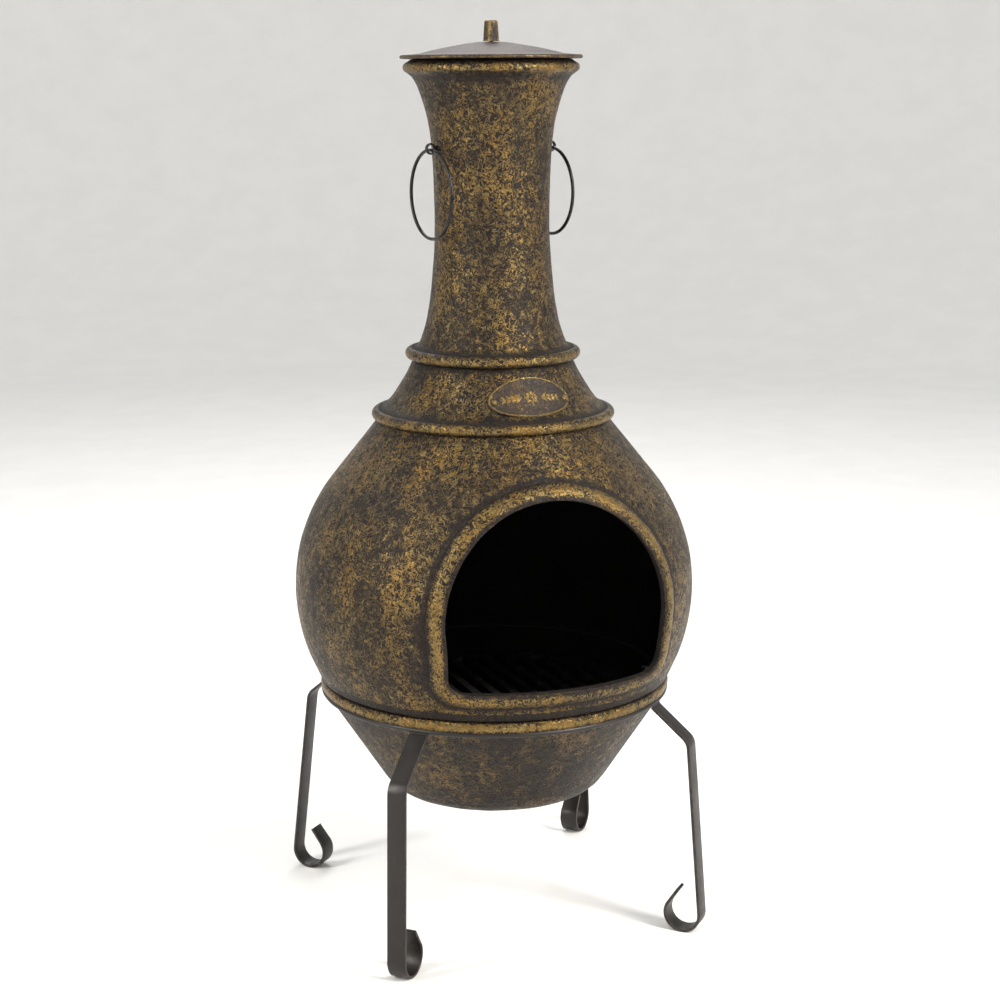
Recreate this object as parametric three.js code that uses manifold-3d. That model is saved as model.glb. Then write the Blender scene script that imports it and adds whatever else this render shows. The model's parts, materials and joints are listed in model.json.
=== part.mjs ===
// Chiminea: a cast-iron garden stove that stands on a strap-iron stand.
//
// Millimetres, +Z up. The origin is on the ground, on the common axis of the castings, and the
// fire mouth faces -Y. From the ground up: four scrolled legs and a ring carry the bowl, the
// belly with the fire mouth stands on the bowl, the shoulder collar on the belly, the chimney
// neck on the collar, and a loose rain lid closes the neck.
//
// An azimuth is counted in degrees from -Y towards +X, so 0 is the front and 90 is the right.

import * as THREE from "three";
import { mergeVertices } from "three/addons/utils/BufferGeometryUtils.js";
import Module from "manifold-3d";

// Fits
const GAP = 0.3; // between two pieces that touch
const WALL = 6; // thickness of the castings
const FLANGE = 6; // inside flanges that the bolts draw together
const THREAD_CLEARANCE = 0.4; // between a thread and its nut or blind hole
const LUG_ROOT = 3; // how far a lug runs into the wall behind it
const WIDE_FACETS = 44; // around the bowl, belly and stand ring
const NARROW_FACETS = 32; // around the collar, neck and lid

// Stand. The legs are bent and welded by hand, so each stands a little differently: its azimuth,
// its splay in degrees off the vertical, and the distance of its scroll's centre from the axis.
const STAND_RING = { radius: 232.4, height: 312.8, bar: 3.3 };
const LEGS = {
  front_left: { azimuth: -45, splay: 2, scrollCentre: 280.7 },
  front_right: { azimuth: 45, splay: 4.5, scrollCentre: 278.5 },
  back_left: { azimuth: -135, splay: 7, scrollCentre: 290.7 },
  back_right: { azimuth: 134, splay: 4.5, scrollCentre: 283 },
};
const STRAP = {
  width: 26,
  thickness: 4,
  outOfRing: 0.5, // from the bar's centre to the middle of the strap's end
  underRing: 4.6,
  slant: 40, // degrees below the horizontal, from the ring down to the knee
  kneeRadius: 20,
  scrollRadius: 24,
  scrollSteps: 15,
  stepsToFlat: 6.5, // steps of the scroll from the shin to the middle of the flat underfoot
  tip: 24, // straight end of the strap inside the scroll
};

// Bowl
const BOWL = {
  floor: 171.5,
  floorCorner: 141.6, // where the cone would meet the floor if the corner were sharp
  cornerRadius: 46,
  flare: 29.16, // degrees off the vertical
  rimRadius: 236.7,
  rimTop: 329.5,
  rimEdge: 3,
  seatRadius: 231, // the raised face that the belly stands on
  innerRadius: 216.4,
};

// Belly
const BELLY = {
  foot: 332,
  footRadius: 236.5,
  footOpening: 222.4,
  lowerArcFrom: 343,
  equator: 455,
  radius: 267.8,
  lowerArc: 250,
  upperArc: 235,
  coneAngle: 38.66, // degrees off the vertical
  top: 680,
};
const MOUTH = {
  sill: 372.5,
  sillHalf: 116,
  sideFoot: 399,
  sideHalf: 143.5,
  centre: 458,
  radius: 148.5,
};
const MOUTH_RIM = { width: 21, height: 6 };

// Shoulder collar
const LOWER_BEAD = { radius: 154.3, height: 687.5, bar: 7.2 };
const COLLAR_TOP = { radius: 105.8, height: 759.9 };
const COLLAR_CURVE = [
  [145.5, 698.5],
  [137, 706],
  [130, 716],
  [117.2, 736],
  [107.3, 756],
];

// Neck
const UPPER_BEAD = { radius: 108.3, height: 767.6, bar: 7.4 };
const NECK_LIP = { radius: 107.5, height: 1135.7, bar: 6.6, mouth: 97, crown: 103.5, top: 1146.2 };
const NECK_HOLLOW = { radius: 94.5, height: 14 }; // inside the upper bead, above the flange's foot
const NECK_TURN = 8.4; // degrees that the neck, with its rings, is turned on the collar
const NECK_CURVE = [
  [97.5, 780],
  [91.6, 796],
  [86.4, 816],
  [80.3, 856],
  [76, 911],
  [75.4, 946],
  [76.5, 1001],
  [79.8, 1048],
  [85.4, 1079],
  [94.8, 1109],
  [103.2, 1124.6],
];

// Ring handles
const RING = { radius: 56.5, wire: 2.25, hangRadius: 89, top: 1032.5 };
const EYE = { radius: 6, wire: 2, shank: 2.5, hole: 3, shankEnd: 64, slack: 1.45, wall: 71.2 };
const EYE_WASHER = { across: 13, thickness: 1 };
const EYE_NUT = { across: 8, thickness: 4 };

// Lid
const LID = {
  brimBottom: 1146.5,
  brimRadius: 118,
  brimEdge: 2.5,
  skirtRadius: 95,
  skirtFoot: 1135,
  skirtWall: 4,
};
const LID_DOME = [
  [90, 1154.2],
  [66, 1159.6],
  [40, 1164.4],
];
const LID_UNDERSIDE = [
  [40, 1159],
  [66, 1154.3],
  [86, 1149.4],
];
const LID_PAD = { radius: 14, height: 1168 };
const KNOB = { foot: 17, head: 14, height: 26.4, turn: 5, boreDepth: 14, boltReach: 11.4 };

// Oval plate
const PLATE = { azimuth: 2, centre: 723.6, halfWidth: 56, halfHeight: 28, thickness: 2.6, gap: 0.4 };
const RIVET = { offAzimuth: 22, height: 720, head: 4.2, dome: 2.2, shank: 1.8, hole: 2.2, length: 6.5 };

// Grate and bolts
const GRATE = { radius: 200.2, foot: 291, thickness: 8, bars: 15, slot: 14, rim: 14 };
const BOLT = { shank: 3, hole: 3.6, head: 10, headHeight: 4, nutHeight: 5, past: 2 }; // M6
const PIERCE = 40; // length of a drill that only has to pass through a wall
const NECK_BOLTS = { radius: 87.5, azimuths: [30, 150, 270] };
const WAIST_BOLTS = { radius: 139, azimuths: [60, 180, 300] };
const BASE_BOLTS = { radius: 207, azimuths: [60, 180, 300], lug: 11, lugHeight: 8 };
const BEAD_HOLLOW = { radius: 146, height: 11 }; // inside the lower bead, clear of the bolt heads
const SEAM_OPENINGS = { collar: 80, belly: 132 }; // radii left open inside the two flanges

const rad = THREE.MathUtils.degToRad;

// Finishes: dark iron rubbed with bronze, plain brown lid, satin stand, black wire, bare bolts.
const finish = (color, roughness, metalness) => () =>
  new THREE.MeshStandardMaterial({ color, roughness, metalness });
const BRONZED_IRON = finish(0x5a4a34, 0.6, 0.6);
const RUBBED_BRONZE = finish(0x8a7340, 0.45, 0.75);
const BROWN_IRON = finish(0x5d4b45, 0.6, 0.5);
const STAND_PAINT = finish(0x2e2724, 0.55, 0.3);
const BLACK_WIRE = finish(0x171518, 0.3, 0.5);
const SOOTY_IRON = finish(0x1d1b1a, 0.9, 0.2);
const BOLT_STEEL = finish(0x55514d, 0.5, 0.8);

// Sections and curves, as lists of [radius, height] points

function arc(radius, height, size, from, to, steps) {
  return Array.from({ length: steps + 1 }, (_, i) => {
    const angle = rad(from + ((to - from) * i) / steps);
    return [radius + size * Math.cos(angle), height + size * Math.sin(angle)];
  });
}

function smooth(points, steps) {
  const curve = new THREE.SplineCurve(points.map(([r, z]) => new THREE.Vector2(r, z)));
  return curve.getPoints(steps).map((p) => [p.x, p.y]);
}

const widened = (points, extra) => points.map(([r, z]) => [r + extra, z]);

function radiusAt(points, height) {
  const i = points.findIndex(([, z]) => z >= height);
  const [[r0, z0], [r1, z1]] = [points[i - 1], points[i]];
  return r0 + ((r1 - r0) * (height - z0)) / (z1 - z0);
}

// A section turned about +Z. It is walked up its outside and down its inside, and either closes
// on itself or starts and ends on the axis.
function turned(section, facets) {
  const loop = section[0][0] > 0 ? [...section, section[0]] : section;
  const points = loop.map(([r, z]) => new THREE.Vector2(r, z));
  return new THREE.LatheGeometry(points, facets).rotateX(Math.PI / 2);
}

// Solids for joining and cutting

const wasm = await Module();
wasm.setup();

function toSolid(geometry) {
  const bare = new THREE.BufferGeometry();
  bare.setAttribute("position", geometry.getAttribute("position"));
  bare.setIndex(geometry.index);
  const merged = mergeVertices(bare, 1e-3);
  const corners = merged.index.array;
  const kept = [];
  for (let i = 0; i < corners.length; i += 3) {
    const [a, b, c] = corners.slice(i, i + 3);
    if (a !== b && b !== c && c !== a) kept.push(a, b, c);
  }
  const vertProperties = merged.attributes.position.array;
  const triVerts = Uint32Array.from(kept);
  return new wasm.Manifold(new wasm.Mesh({ numProp: 3, vertProperties, triVerts }));
}

function toGeometry(solid) {
  const { vertProperties, triVerts } = solid.getMesh();
  const geometry = new THREE.BufferGeometry();
  geometry.setAttribute("position", new THREE.BufferAttribute(vertProperties, 3));
  geometry.setIndex(new THREE.BufferAttribute(triVerts, 1));
  return geometry;
}

// Placing

function piece(name, geometry, material) {
  const mesh = new THREE.Mesh(geometry, material());
  mesh.name = name;
  return mesh;
}

const polar = (radius, azimuth, height) =>
  new THREE.Vector3(radius * Math.sin(rad(azimuth)), -radius * Math.cos(rad(azimuth)), height);

// A group whose own +X points away from the axis at an azimuth.
function spoke(azimuth, ...members) {
  const group = new THREE.Group();
  group.rotation.z = rad(azimuth - 90);
  group.add(...members);
  return group;
}

// A cylinder along +Z, centred on the origin.
const upright = (radius, length, sides) =>
  new THREE.CylinderGeometry(radius, radius, length, sides).rotateX(Math.PI / 2);

// Round holes along Z, one at each azimuth of a bolt circle.
function boltHoles({ radius, azimuths }, low, high) {
  return azimuths.map((azimuth) => {
    const { x, y } = polar(radius, azimuth, 0);
    const hole = upright(BOLT.hole, high - low, 10);
    return toSolid(hole.translate(x, y, (low + high) / 2));
  });
}

const cut = (solid, tools) => tools.reduce((rest, tool) => rest.subtract(tool), solid);
const join = (solid, others) => others.reduce((sum, other) => sum.add(other), solid);

// Stand: a ring of round bar, and four straps that slant out to a knee, run down and curl into
// a scroll. The lowest step of the scroll is flat on the ground.

function strapCentreline({ splay, scrollCentre }) {
  const { thickness, slant, kneeRadius, scrollRadius, scrollSteps, stepsToFlat, tip } = STRAP;
  const step = (90 + splay) / stepsToFlat;
  const scrollHeight = (scrollRadius + thickness / 2) * Math.cos(rad(step / 2));
  const scrollEnd = splay - step * scrollSteps;
  const scroll = arc(scrollCentre, scrollHeight, scrollRadius, splay, scrollEnd, scrollSteps);
  const [curlR, curlZ] = scroll.at(-1);
  const tipAngle = rad(scrollEnd - 90);
  const tipEnd = [curlR + tip * Math.cos(tipAngle), curlZ + tip * Math.sin(tipAngle)];

  // The slant runs from the ring to the corner where it would meet the shin if the knee were
  // sharp; the knee rounds that corner.
  const [out, down] = [Math.cos(rad(slant)), Math.sin(rad(slant))];
  const start = [STAND_RING.radius + STRAP.outOfRing, STAND_RING.height - STRAP.underRing];
  const lean = Math.tan(rad(splay));
  const [ankleR, ankleZ] = scroll[0];
  const run = (ankleR - start[0] - lean * (start[1] - ankleZ)) / (out - lean * down);
  const toKnee = run - kneeRadius * Math.tan(rad((90 - splay - slant) / 2));
  const kneeR = start[0] + toKnee * out - kneeRadius * down;
  const kneeZ = start[1] - toKnee * down - kneeRadius * out;
  return [start, ...arc(kneeR, kneeZ, kneeRadius, 90 - slant, splay, 5), ...scroll, tipEnd];
}

function strapLeg(leg) {
  const line = strapCentreline(leg).map(([r, z]) => new THREE.Vector2(r, z));
  const side = (sign) =>
    line.map((p, i) => {
      const before = line[Math.max(i - 1, 0)];
      const after = line[Math.min(i + 1, line.length - 1)];
      const along = after.clone().sub(before).normalize();
      return new THREE.Vector2(-along.y, along.x).multiplyScalar((sign * STRAP.thickness) / 2).add(p);
    });
  const outline = new THREE.Shape([...side(1), ...side(-1).reverse()]);
  const strap = new THREE.ExtrudeGeometry(outline, { depth: STRAP.width, bevelEnabled: false });
  return strap.rotateX(Math.PI / 2).translate(0, STRAP.width / 2, 0);
}

function stand() {
  const group = new THREE.Group();
  const { radius, height, bar } = STAND_RING;
  const ring = piece("stand_ring", new THREE.TorusGeometry(radius, bar, 8, WIDE_FACETS), STAND_PAINT);
  ring.position.z = height;
  group.add(ring);
  for (const [corner, leg] of Object.entries(LEGS))
    group.add(spoke(leg.azimuth, piece(`leg_${corner}`, strapLeg(leg), STAND_PAINT)));
  return group;
}

// Bolts: hexagon head under -Z of the origin, shank along +Z, and its nut on the far side.

function hexagon(acrossFlats, height) {
  const corner = acrossFlats / 2 / Math.cos(Math.PI / 6);
  return upright(corner, height, 6);
}

function boltShape(length) {
  const overlap = 1;
  const shank = upright(BOLT.shank, length + overlap, 8).translate(0, 0, (length - overlap) / 2);
  const head = hexagon(BOLT.head, BOLT.headHeight).translate(0, 0, -BOLT.headHeight / 2);
  return toGeometry(toSolid(head).add(toSolid(shank)));
}

function nutShape(hole, acrossFlats, height) {
  const bore = upright(hole, 2 * height, 10);
  return toGeometry(toSolid(hexagon(acrossFlats, height)).subtract(toSolid(bore)));
}

// Bolts hang head up through a seam, from the top of the upper flange to a nut under the lower.
function seamBolts(seam, { radius, azimuths }, top, bottom) {
  const length = top - bottom + 2 * GAP + BOLT.nutHeight + BOLT.past;
  const nutHole = BOLT.shank + THREAD_CLEARANCE;
  const group = new THREE.Group();
  azimuths.forEach((azimuth, i) => {
    const bolt = piece(`${seam}_bolt_${i + 1}`, boltShape(length), BOLT_STEEL);
    bolt.rotation.x = Math.PI;
    bolt.position.copy(polar(radius, azimuth, top + GAP));
    const nutBody = nutShape(nutHole, BOLT.head, BOLT.nutHeight);
    const nut = piece(`${seam}_nut_${i + 1}`, nutBody, BOLT_STEEL);
    nut.position.copy(polar(radius, azimuth, bottom - GAP - BOLT.nutHeight / 2));
    group.add(bolt, nut);
  });
  return group;
}

// A tab on the inside of a casting for one bolt: a round nose that runs out into the wall.
function lugs({ radius, azimuths, lug, lugHeight }, low, reach) {
  return azimuths.map((azimuth) => {
    const outline = new THREE.Shape();
    outline.moveTo(reach, -lug);
    outline.lineTo(reach, lug);
    outline.lineTo(radius, lug);
    outline.absarc(radius, 0, lug, Math.PI / 2, (3 * Math.PI) / 2);
    const options = { depth: lugHeight, bevelEnabled: false, curveSegments: 4 };
    const tab = new THREE.ExtrudeGeometry(outline, options);
    return toSolid(tab.rotateZ(rad(azimuth - 90)).translate(0, 0, low));
  });
}

// Bowl: a flat floor, a rounded corner, a flaring wall and the rim that rests on the ring.

function bowl() {
  const flare = Math.tan(rad(BOWL.flare));
  const outside = (height) => BOWL.floorCorner + flare * (height - BOWL.floor);
  const inset = WALL / Math.cos(rad(BOWL.flare));
  const cornerRun = BOWL.cornerRadius * Math.tan(rad((90 - BOWL.flare) / 2));
  const corner = (size) =>
    arc(BOWL.floorCorner - cornerRun, BOWL.floor + BOWL.cornerRadius, size, -90, -BOWL.flare, 4);
  const rimBottom = STAND_RING.height + STAND_RING.bar + GAP;
  const edge = BOWL.rimEdge;
  const seat = BELLY.foot - GAP;
  const innerFoot = BOWL.floor + (BOWL.innerRadius + inset - BOWL.floorCorner) / flare;
  const section = [
    [0, BOWL.floor],
    ...corner(BOWL.cornerRadius),
    [outside(rimBottom), rimBottom],
    ...arc(BOWL.rimRadius - edge, rimBottom + edge, edge, -90, 0, 2),
    ...arc(BOWL.rimRadius - edge, BOWL.rimTop - edge, edge, 0, 90, 2),
    [BOWL.seatRadius, BOWL.rimTop],
    [BOWL.seatRadius, seat],
    [BOWL.innerRadius, seat],
    [BOWL.innerRadius, innerFoot],
    ...corner(BOWL.cornerRadius - WALL).reverse(),
    [0, BOWL.floor + WALL],
  ];
  const low = seat - BASE_BOLTS.lugHeight;
  const tabs = lugs(BASE_BOLTS, low, BOWL.innerRadius + LUG_ROOT);
  const casting = join(toSolid(turned(section, WIDE_FACETS)), tabs);
  const drilled = cut(casting, boltHoles(BASE_BOLTS, low - 1, seat + 1));
  return piece("base_bowl", toGeometry(drilled), BRONZED_IRON);
}

function grate() {
  const { radius, foot, thickness, bars, slot, rim } = GRATE;
  const plate = new THREE.Shape(new THREE.EllipseCurve(0, 0, radius, radius).getPoints(WIDE_FACETS));
  const pitch = (2 * (radius - rim)) / bars;
  for (let i = 1; i < bars; i++) {
    const x = -radius + rim + i * pitch;
    const half = Math.sqrt((radius - rim) ** 2 - x ** 2) - slot;
    if (half < slot) continue;
    const hole = new THREE.Path();
    hole.absarc(x, half, slot / 2, 0, Math.PI);
    hole.absarc(x, -half, slot / 2, Math.PI, 2 * Math.PI);
    plate.holes.push(hole);
  }
  const options = { depth: thickness, bevelEnabled: false, curveSegments: 2 };
  const disc = new THREE.ExtrudeGeometry(plate, options);
  const mesh = piece("fire_grate", disc, SOOTY_IRON);
  mesh.position.z = foot;
  return mesh;
}

// Belly: a lower and an upper arc that share their equator, and a straight cone above them.
// grow moves the outside out, or the inside in when it is negative.

function bellyCurve(grow) {
  const { equator, radius, lowerArc, upperArc, coneAngle, top, foot, footRadius } = BELLY;
  const low = (-Math.asin((equator - BELLY.lowerArcFrom) / lowerArc) * 180) / Math.PI;
  const upper = arc(radius - upperArc, equator, upperArc + grow, 0, coneAngle, 6);
  const [coneR, coneZ] = upper.at(-1);
  return [
    [footRadius + grow, foot],
    ...arc(radius - lowerArc, equator, lowerArc + grow, low, 0, 4),
    ...upper.slice(1),
    [coneR - (top - coneZ) * Math.tan(rad(coneAngle)), top],
  ];
}

// The arched outline of the mouth, in X and Z, grown outwards on every side.
function mouthOutline(grow) {
  const { sill, sillHalf, sideFoot, sideHalf, centre, radius } = MOUTH;
  const outline = new THREE.Shape();
  outline.moveTo(-sillHalf, sill - grow);
  outline.lineTo(sillHalf, sill - grow);
  outline.quadraticCurveTo(sideHalf + grow, sill - grow, sideHalf + grow, sideFoot);
  outline.absarc(0, centre, radius + grow, 0, Math.PI);
  outline.lineTo(-sideHalf - grow, sideFoot);
  outline.quadraticCurveTo(-sideHalf - grow, sill - grow, -sillHalf, sill - grow);
  return outline;
}

// The outline run through the front of the belly, along Y.
function mouthPrism(grow) {
  const options = { depth: BELLY.radius, bevelEnabled: false, curveSegments: 9 };
  const front = new THREE.ExtrudeGeometry(mouthOutline(grow), options);
  return toSolid(front.rotateX(Math.PI / 2).translate(0, -BELLY.radius / 3, 0));
}

function belly() {
  const outside = bellyCurve(0);
  const inside = bellyCurve(-WALL);
  const flangeUnder = BELLY.top - FLANGE;
  const [coneR, coneZ] = inside.at(-2);
  const slope = Math.tan(rad(BELLY.coneAngle));
  const section = [
    ...outside,
    [SEAM_OPENINGS.belly, BELLY.top],
    [SEAM_OPENINGS.belly, flangeUnder],
    [coneR - (flangeUnder - coneZ) * slope, flangeUnder],
    ...inside.slice(1, -1).reverse(),
    [BELLY.footRadius - WALL, BELLY.foot + FLANGE],
    [BELLY.footOpening, BELLY.foot + FLANGE],
    [BELLY.footOpening, BELLY.foot],
  ];
  const shell = toSolid(turned(section, WIDE_FACETS));
  const rimSection = [...bellyCurve(MOUTH_RIM.height), ...bellyCurve(-WALL / 2).reverse()];
  const rim = toSolid(turned(rimSection, WIDE_FACETS)).intersect(mouthPrism(MOUTH_RIM.width));
  const tabs = lugs(BASE_BOLTS, BELLY.foot, BELLY.footRadius - WALL + LUG_ROOT);
  const lugTop = BELLY.foot + BASE_BOLTS.lugHeight;
  const tools = [
    mouthPrism(0),
    ...boltHoles(BASE_BOLTS, BELLY.foot - 1, lugTop + 1),
    ...boltHoles(WAIST_BOLTS, flangeUnder - 1, BELLY.top + 1),
  ];
  return piece("belly", toGeometry(cut(join(shell, [rim, ...tabs]), tools)), BRONZED_IRON);
}

// Collar: a concave cone that ends in a bead at its foot and a flat flange at its top.

const collarCurve = () => smooth(COLLAR_CURVE, 5);

function collar() {
  const foot = BELLY.top + GAP;
  const flangeUnder = COLLAR_TOP.height - FLANGE;
  const { radius, height, bar } = LOWER_BEAD;
  const inner = smooth(widened(COLLAR_CURVE, -WALL - 1), 3).filter(([, z]) => z < flangeUnder);
  const section = [
    [SEAM_OPENINGS.belly, foot],
    ...arc(radius, height, bar, -90, 100, 5),
    ...collarCurve(),
    [COLLAR_TOP.radius, COLLAR_TOP.height],
    [SEAM_OPENINGS.collar, COLLAR_TOP.height],
    [SEAM_OPENINGS.collar, flangeUnder],
    [COLLAR_TOP.radius - WALL, flangeUnder],
    ...inner.reverse(),
    [BEAD_HOLLOW.radius, foot + BEAD_HOLLOW.height],
    [BEAD_HOLLOW.radius, foot + FLANGE],
    [SEAM_OPENINGS.belly, foot + FLANGE],
  ];
  const tools = [
    ...boltHoles(NECK_BOLTS, flangeUnder - 1, COLLAR_TOP.height + 1),
    ...boltHoles(WAIST_BOLTS, foot - 1, foot + FLANGE + 1),
    ...[-1, 1].map((side) => rivetHole(side)),
  ];
  const casting = toSolid(turned(section, NARROW_FACETS));
  return piece("shoulder_collar", toGeometry(cut(casting, tools)), BRONZED_IRON);
}

// Oval plate: a skin of the collar's cone, cut to an ellipse seen square on.

const plateTilt = () => {
  const cone = collarCurve();
  return Math.atan((radiusAt(cone, PLATE.centre - 10) - radiusAt(cone, PLATE.centre + 10)) / 20);
};

function plate() {
  const cone = collarCurve();
  const outer = widened(cone, PLATE.thickness + PLATE.gap);
  const inner = widened(cone, PLATE.gap);
  const skin = toSolid(turned([...outer, ...inner.reverse()], NARROW_FACETS));
  const oval = new THREE.Shape();
  oval.absellipse(0, 0, PLATE.halfWidth, PLATE.halfHeight, 0, 2 * Math.PI);
  const options = { depth: 2 * PIERCE, bevelEnabled: false, curveSegments: 16 };
  const prism = new THREE.ExtrudeGeometry(oval, options);
  prism.translate(0, 0, -PIERCE).rotateX(Math.PI / 2 - plateTilt());
  prism.translate(0, -radiusAt(cone, PLATE.centre), PLATE.centre).rotateZ(rad(PLATE.azimuth));
  const blank = skin.intersect(toSolid(prism));
  return piece("name_plate", toGeometry(cut(blank, [rivetHole(-1), rivetHole(1)])), RUBBED_BRONZE);
}

// Stands a shape that points along +Z on the collar's surface, square to it, at one rivet.
function onRivet(object, side) {
  const cone = collarCurve();
  const radius = radiusAt(cone, RIVET.height) + PLATE.thickness + 2 * GAP;
  object.rotation.set(0, Math.PI / 2 - plateTilt(), 0);
  object.position.set(radius, 0, RIVET.height);
  return spoke(PLATE.azimuth + side * RIVET.offAzimuth, object);
}

function rivetHole(side) {
  const bore = new THREE.Mesh(upright(RIVET.hole, PIERCE, 8));
  onRivet(bore, side).updateMatrixWorld(true);
  return toSolid(bore.geometry.applyMatrix4(bore.matrixWorld));
}

function rivet(name, side) {
  const dome = [0, 30, 60].map((a) => [RIVET.head * Math.cos(rad(a)), RIVET.dome * Math.sin(rad(a))]);
  const section = [
    [0, -RIVET.length],
    [RIVET.shank, -RIVET.length],
    [RIVET.shank, 0],
    ...dome,
    [0, RIVET.dome],
  ];
  return onRivet(piece(name, turned(section, 8), RUBBED_BRONZE), side);
}

// Neck: a waisted flue with a bead at its foot and a rolled lip at its top.

function neck() {
  const foot = COLLAR_TOP.height + GAP;
  const { radius, height, bar } = UPPER_BEAD;
  const section = [
    [SEAM_OPENINGS.collar, foot],
    ...arc(radius, height, bar, -90, 110, 5),
    ...smooth(NECK_CURVE, 11),
    ...arc(NECK_LIP.radius, NECK_LIP.height, NECK_LIP.bar, -65, 50, 4),
    [NECK_LIP.crown, NECK_LIP.top],
    [NECK_LIP.mouth, NECK_LIP.top],
    ...smooth(widened(NECK_CURVE, -WALL), 7).slice(1).reverse(),
    [NECK_HOLLOW.radius, foot + NECK_HOLLOW.height],
    [NECK_HOLLOW.radius, foot + FLANGE],
    [SEAM_OPENINGS.collar, foot + FLANGE],
  ];
  const eyeHole = (side) => {
    const bore = new THREE.CylinderGeometry(EYE.hole, EYE.hole, PIERCE, 8);
    bore.rotateZ(Math.PI / 2).translate(EYE.wall, 0, RING.top + EYE.slack);
    return toSolid(bore.rotateZ(rad(side * 90 + NECK_TURN - 90)));
  };
  const tools = [...boltHoles(NECK_BOLTS, foot - 1, foot + FLANGE + 1), eyeHole(-1), eyeHole(1)];
  const casting = toSolid(turned(section, NARROW_FACETS));
  return piece("chimney_neck", toGeometry(cut(casting, tools)), BRONZED_IRON);
}

// Ring handle: a wire ring that hangs in the eye of a bolt, which a nut holds inside the neck.

function handle(name, side) {
  const { radius, wire, hangRadius, top } = RING;
  const ring = piece(`ring_handle_${name}`, new THREE.TorusGeometry(radius, wire, 6, 28), BLACK_WIRE);
  ring.rotation.y = Math.PI / 2;
  ring.position.set(hangRadius, 0, top - radius);

  const loop = new THREE.TorusGeometry(EYE.radius, EYE.wire, 6, 12).rotateX(Math.PI / 2);
  const shankLength = hangRadius - EYE.radius - EYE.shankEnd;
  const shank = new THREE.CylinderGeometry(EYE.shank, EYE.shank, shankLength, 8).rotateZ(Math.PI / 2);
  shank.translate(-EYE.radius - shankLength / 2, 0, 0);
  const bolt = piece(`eye_bolt_${name}`, toGeometry(toSolid(loop).add(toSolid(shank))), BLACK_WIRE);
  bolt.position.set(hangRadius, 0, top + EYE.slack);

  const bore = EYE.shank + THREAD_CLEARANCE;
  const washerBody = nutShape(bore, EYE_WASHER.across, EYE_WASHER.thickness);
  const washer = piece(`eye_washer_${name}`, washerBody, BOLT_STEEL);
  const nutBody = nutShape(bore, EYE_NUT.across, EYE_NUT.thickness);
  const nut = piece(`eye_nut_${name}`, nutBody, BOLT_STEEL);
  washer.position.set(EYE.wall - EYE_WASHER.thickness / 2, 0, top + EYE.slack);
  nut.position.set(EYE.wall - EYE_WASHER.thickness - GAP - EYE_NUT.thickness / 2, 0, top + EYE.slack);
  for (const flat of [washer, nut]) flat.rotation.y = Math.PI / 2;
  return spoke(side * 90 + NECK_TURN, ring, bolt, washer, nut);
}

// Lid: a shallow dome with a flat brim, and a skirt that drops inside the neck. A bolt from
// below holds the square knob on the pad in the middle.

function lid() {
  const { brimBottom, brimRadius, brimEdge, skirtRadius, skirtFoot, skirtWall } = LID;
  const hole = BOLT.hole;
  const section = [
    [hole, LID_PAD.height - WALL],
    [LID_PAD.radius, LID_PAD.height - WALL],
    ...LID_UNDERSIDE,
    [skirtRadius - skirtWall, brimBottom],
    [skirtRadius - skirtWall, skirtFoot],
    [skirtRadius, skirtFoot],
    [skirtRadius, brimBottom],
    ...arc(brimRadius - brimEdge, brimBottom + brimEdge, brimEdge, -90, 90, 4),
    ...LID_DOME,
    [LID_PAD.radius, LID_PAD.height],
    [hole, LID_PAD.height],
  ];
  return piece("rain_lid", turned(section, NARROW_FACETS), BROWN_IRON);
}

function knob() {
  const half = Math.SQRT1_2;
  const stub = new THREE.CylinderGeometry(KNOB.head * half, KNOB.foot * half, KNOB.height, 4);
  stub.rotateX(Math.PI / 2).rotateZ(Math.PI / 4).translate(0, 0, KNOB.height / 2);
  const bore = upright(BOLT.shank + THREAD_CLEARANCE, 2 * KNOB.boreDepth, 10);
  const body = toSolid(stub).subtract(toSolid(bore));
  const mesh = piece("lid_knob", toGeometry(body), RUBBED_BRONZE);
  mesh.position.z = LID_PAD.height + GAP;
  mesh.rotation.z = rad(KNOB.turn);
  return mesh;
}

function knobBolt() {
  const mesh = piece("knob_bolt", boltShape(WALL + 2 * GAP + KNOB.boltReach), BOLT_STEEL);
  mesh.position.z = LID_PAD.height - WALL - GAP;
  return mesh;
}

// The whole chiminea, from the ground up.

const chiminea = new THREE.Group();
const baseSeat = BELLY.foot - GAP;
const waistFoot = BELLY.top + GAP;
const neckFoot = COLLAR_TOP.height + GAP;
chiminea.add(
  stand(),
  bowl(),
  grate(),
  belly(),
  seamBolts("base", BASE_BOLTS, BELLY.foot + BASE_BOLTS.lugHeight, baseSeat - BASE_BOLTS.lugHeight),
  collar(),
  seamBolts("waist", WAIST_BOLTS, waistFoot + FLANGE, BELLY.top - FLANGE),
  plate(),
  rivet("plate_rivet_left", -1),
  rivet("plate_rivet_right", 1),
  neck(),
  seamBolts("neck", NECK_BOLTS, neckFoot + FLANGE, COLLAR_TOP.height - FLANGE),
  handle("left", -1),
  handle("right", 1),
  lid(),
  knob(),
  knobBolt(),
);

export default chiminea;
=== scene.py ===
"""The finished looks of the chiminea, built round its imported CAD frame.

Metres, +Z up, in the row frame: the fire mouth faces -Y. An azimuth is counted in degrees from
-Y towards +X. Each casting is turned from a section that follows its CAD node, given uneven
cast surfaces, and painted by node materials: dark iron whose high spots are rubbed with bronze.
"""

import json
import math

import bmesh
import bpy
import numpy as np
from mathutils import Matrix, Vector, noise
from mathutils.bvhtree import BVHTree
from mathutils.kdtree import KDTree


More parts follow.
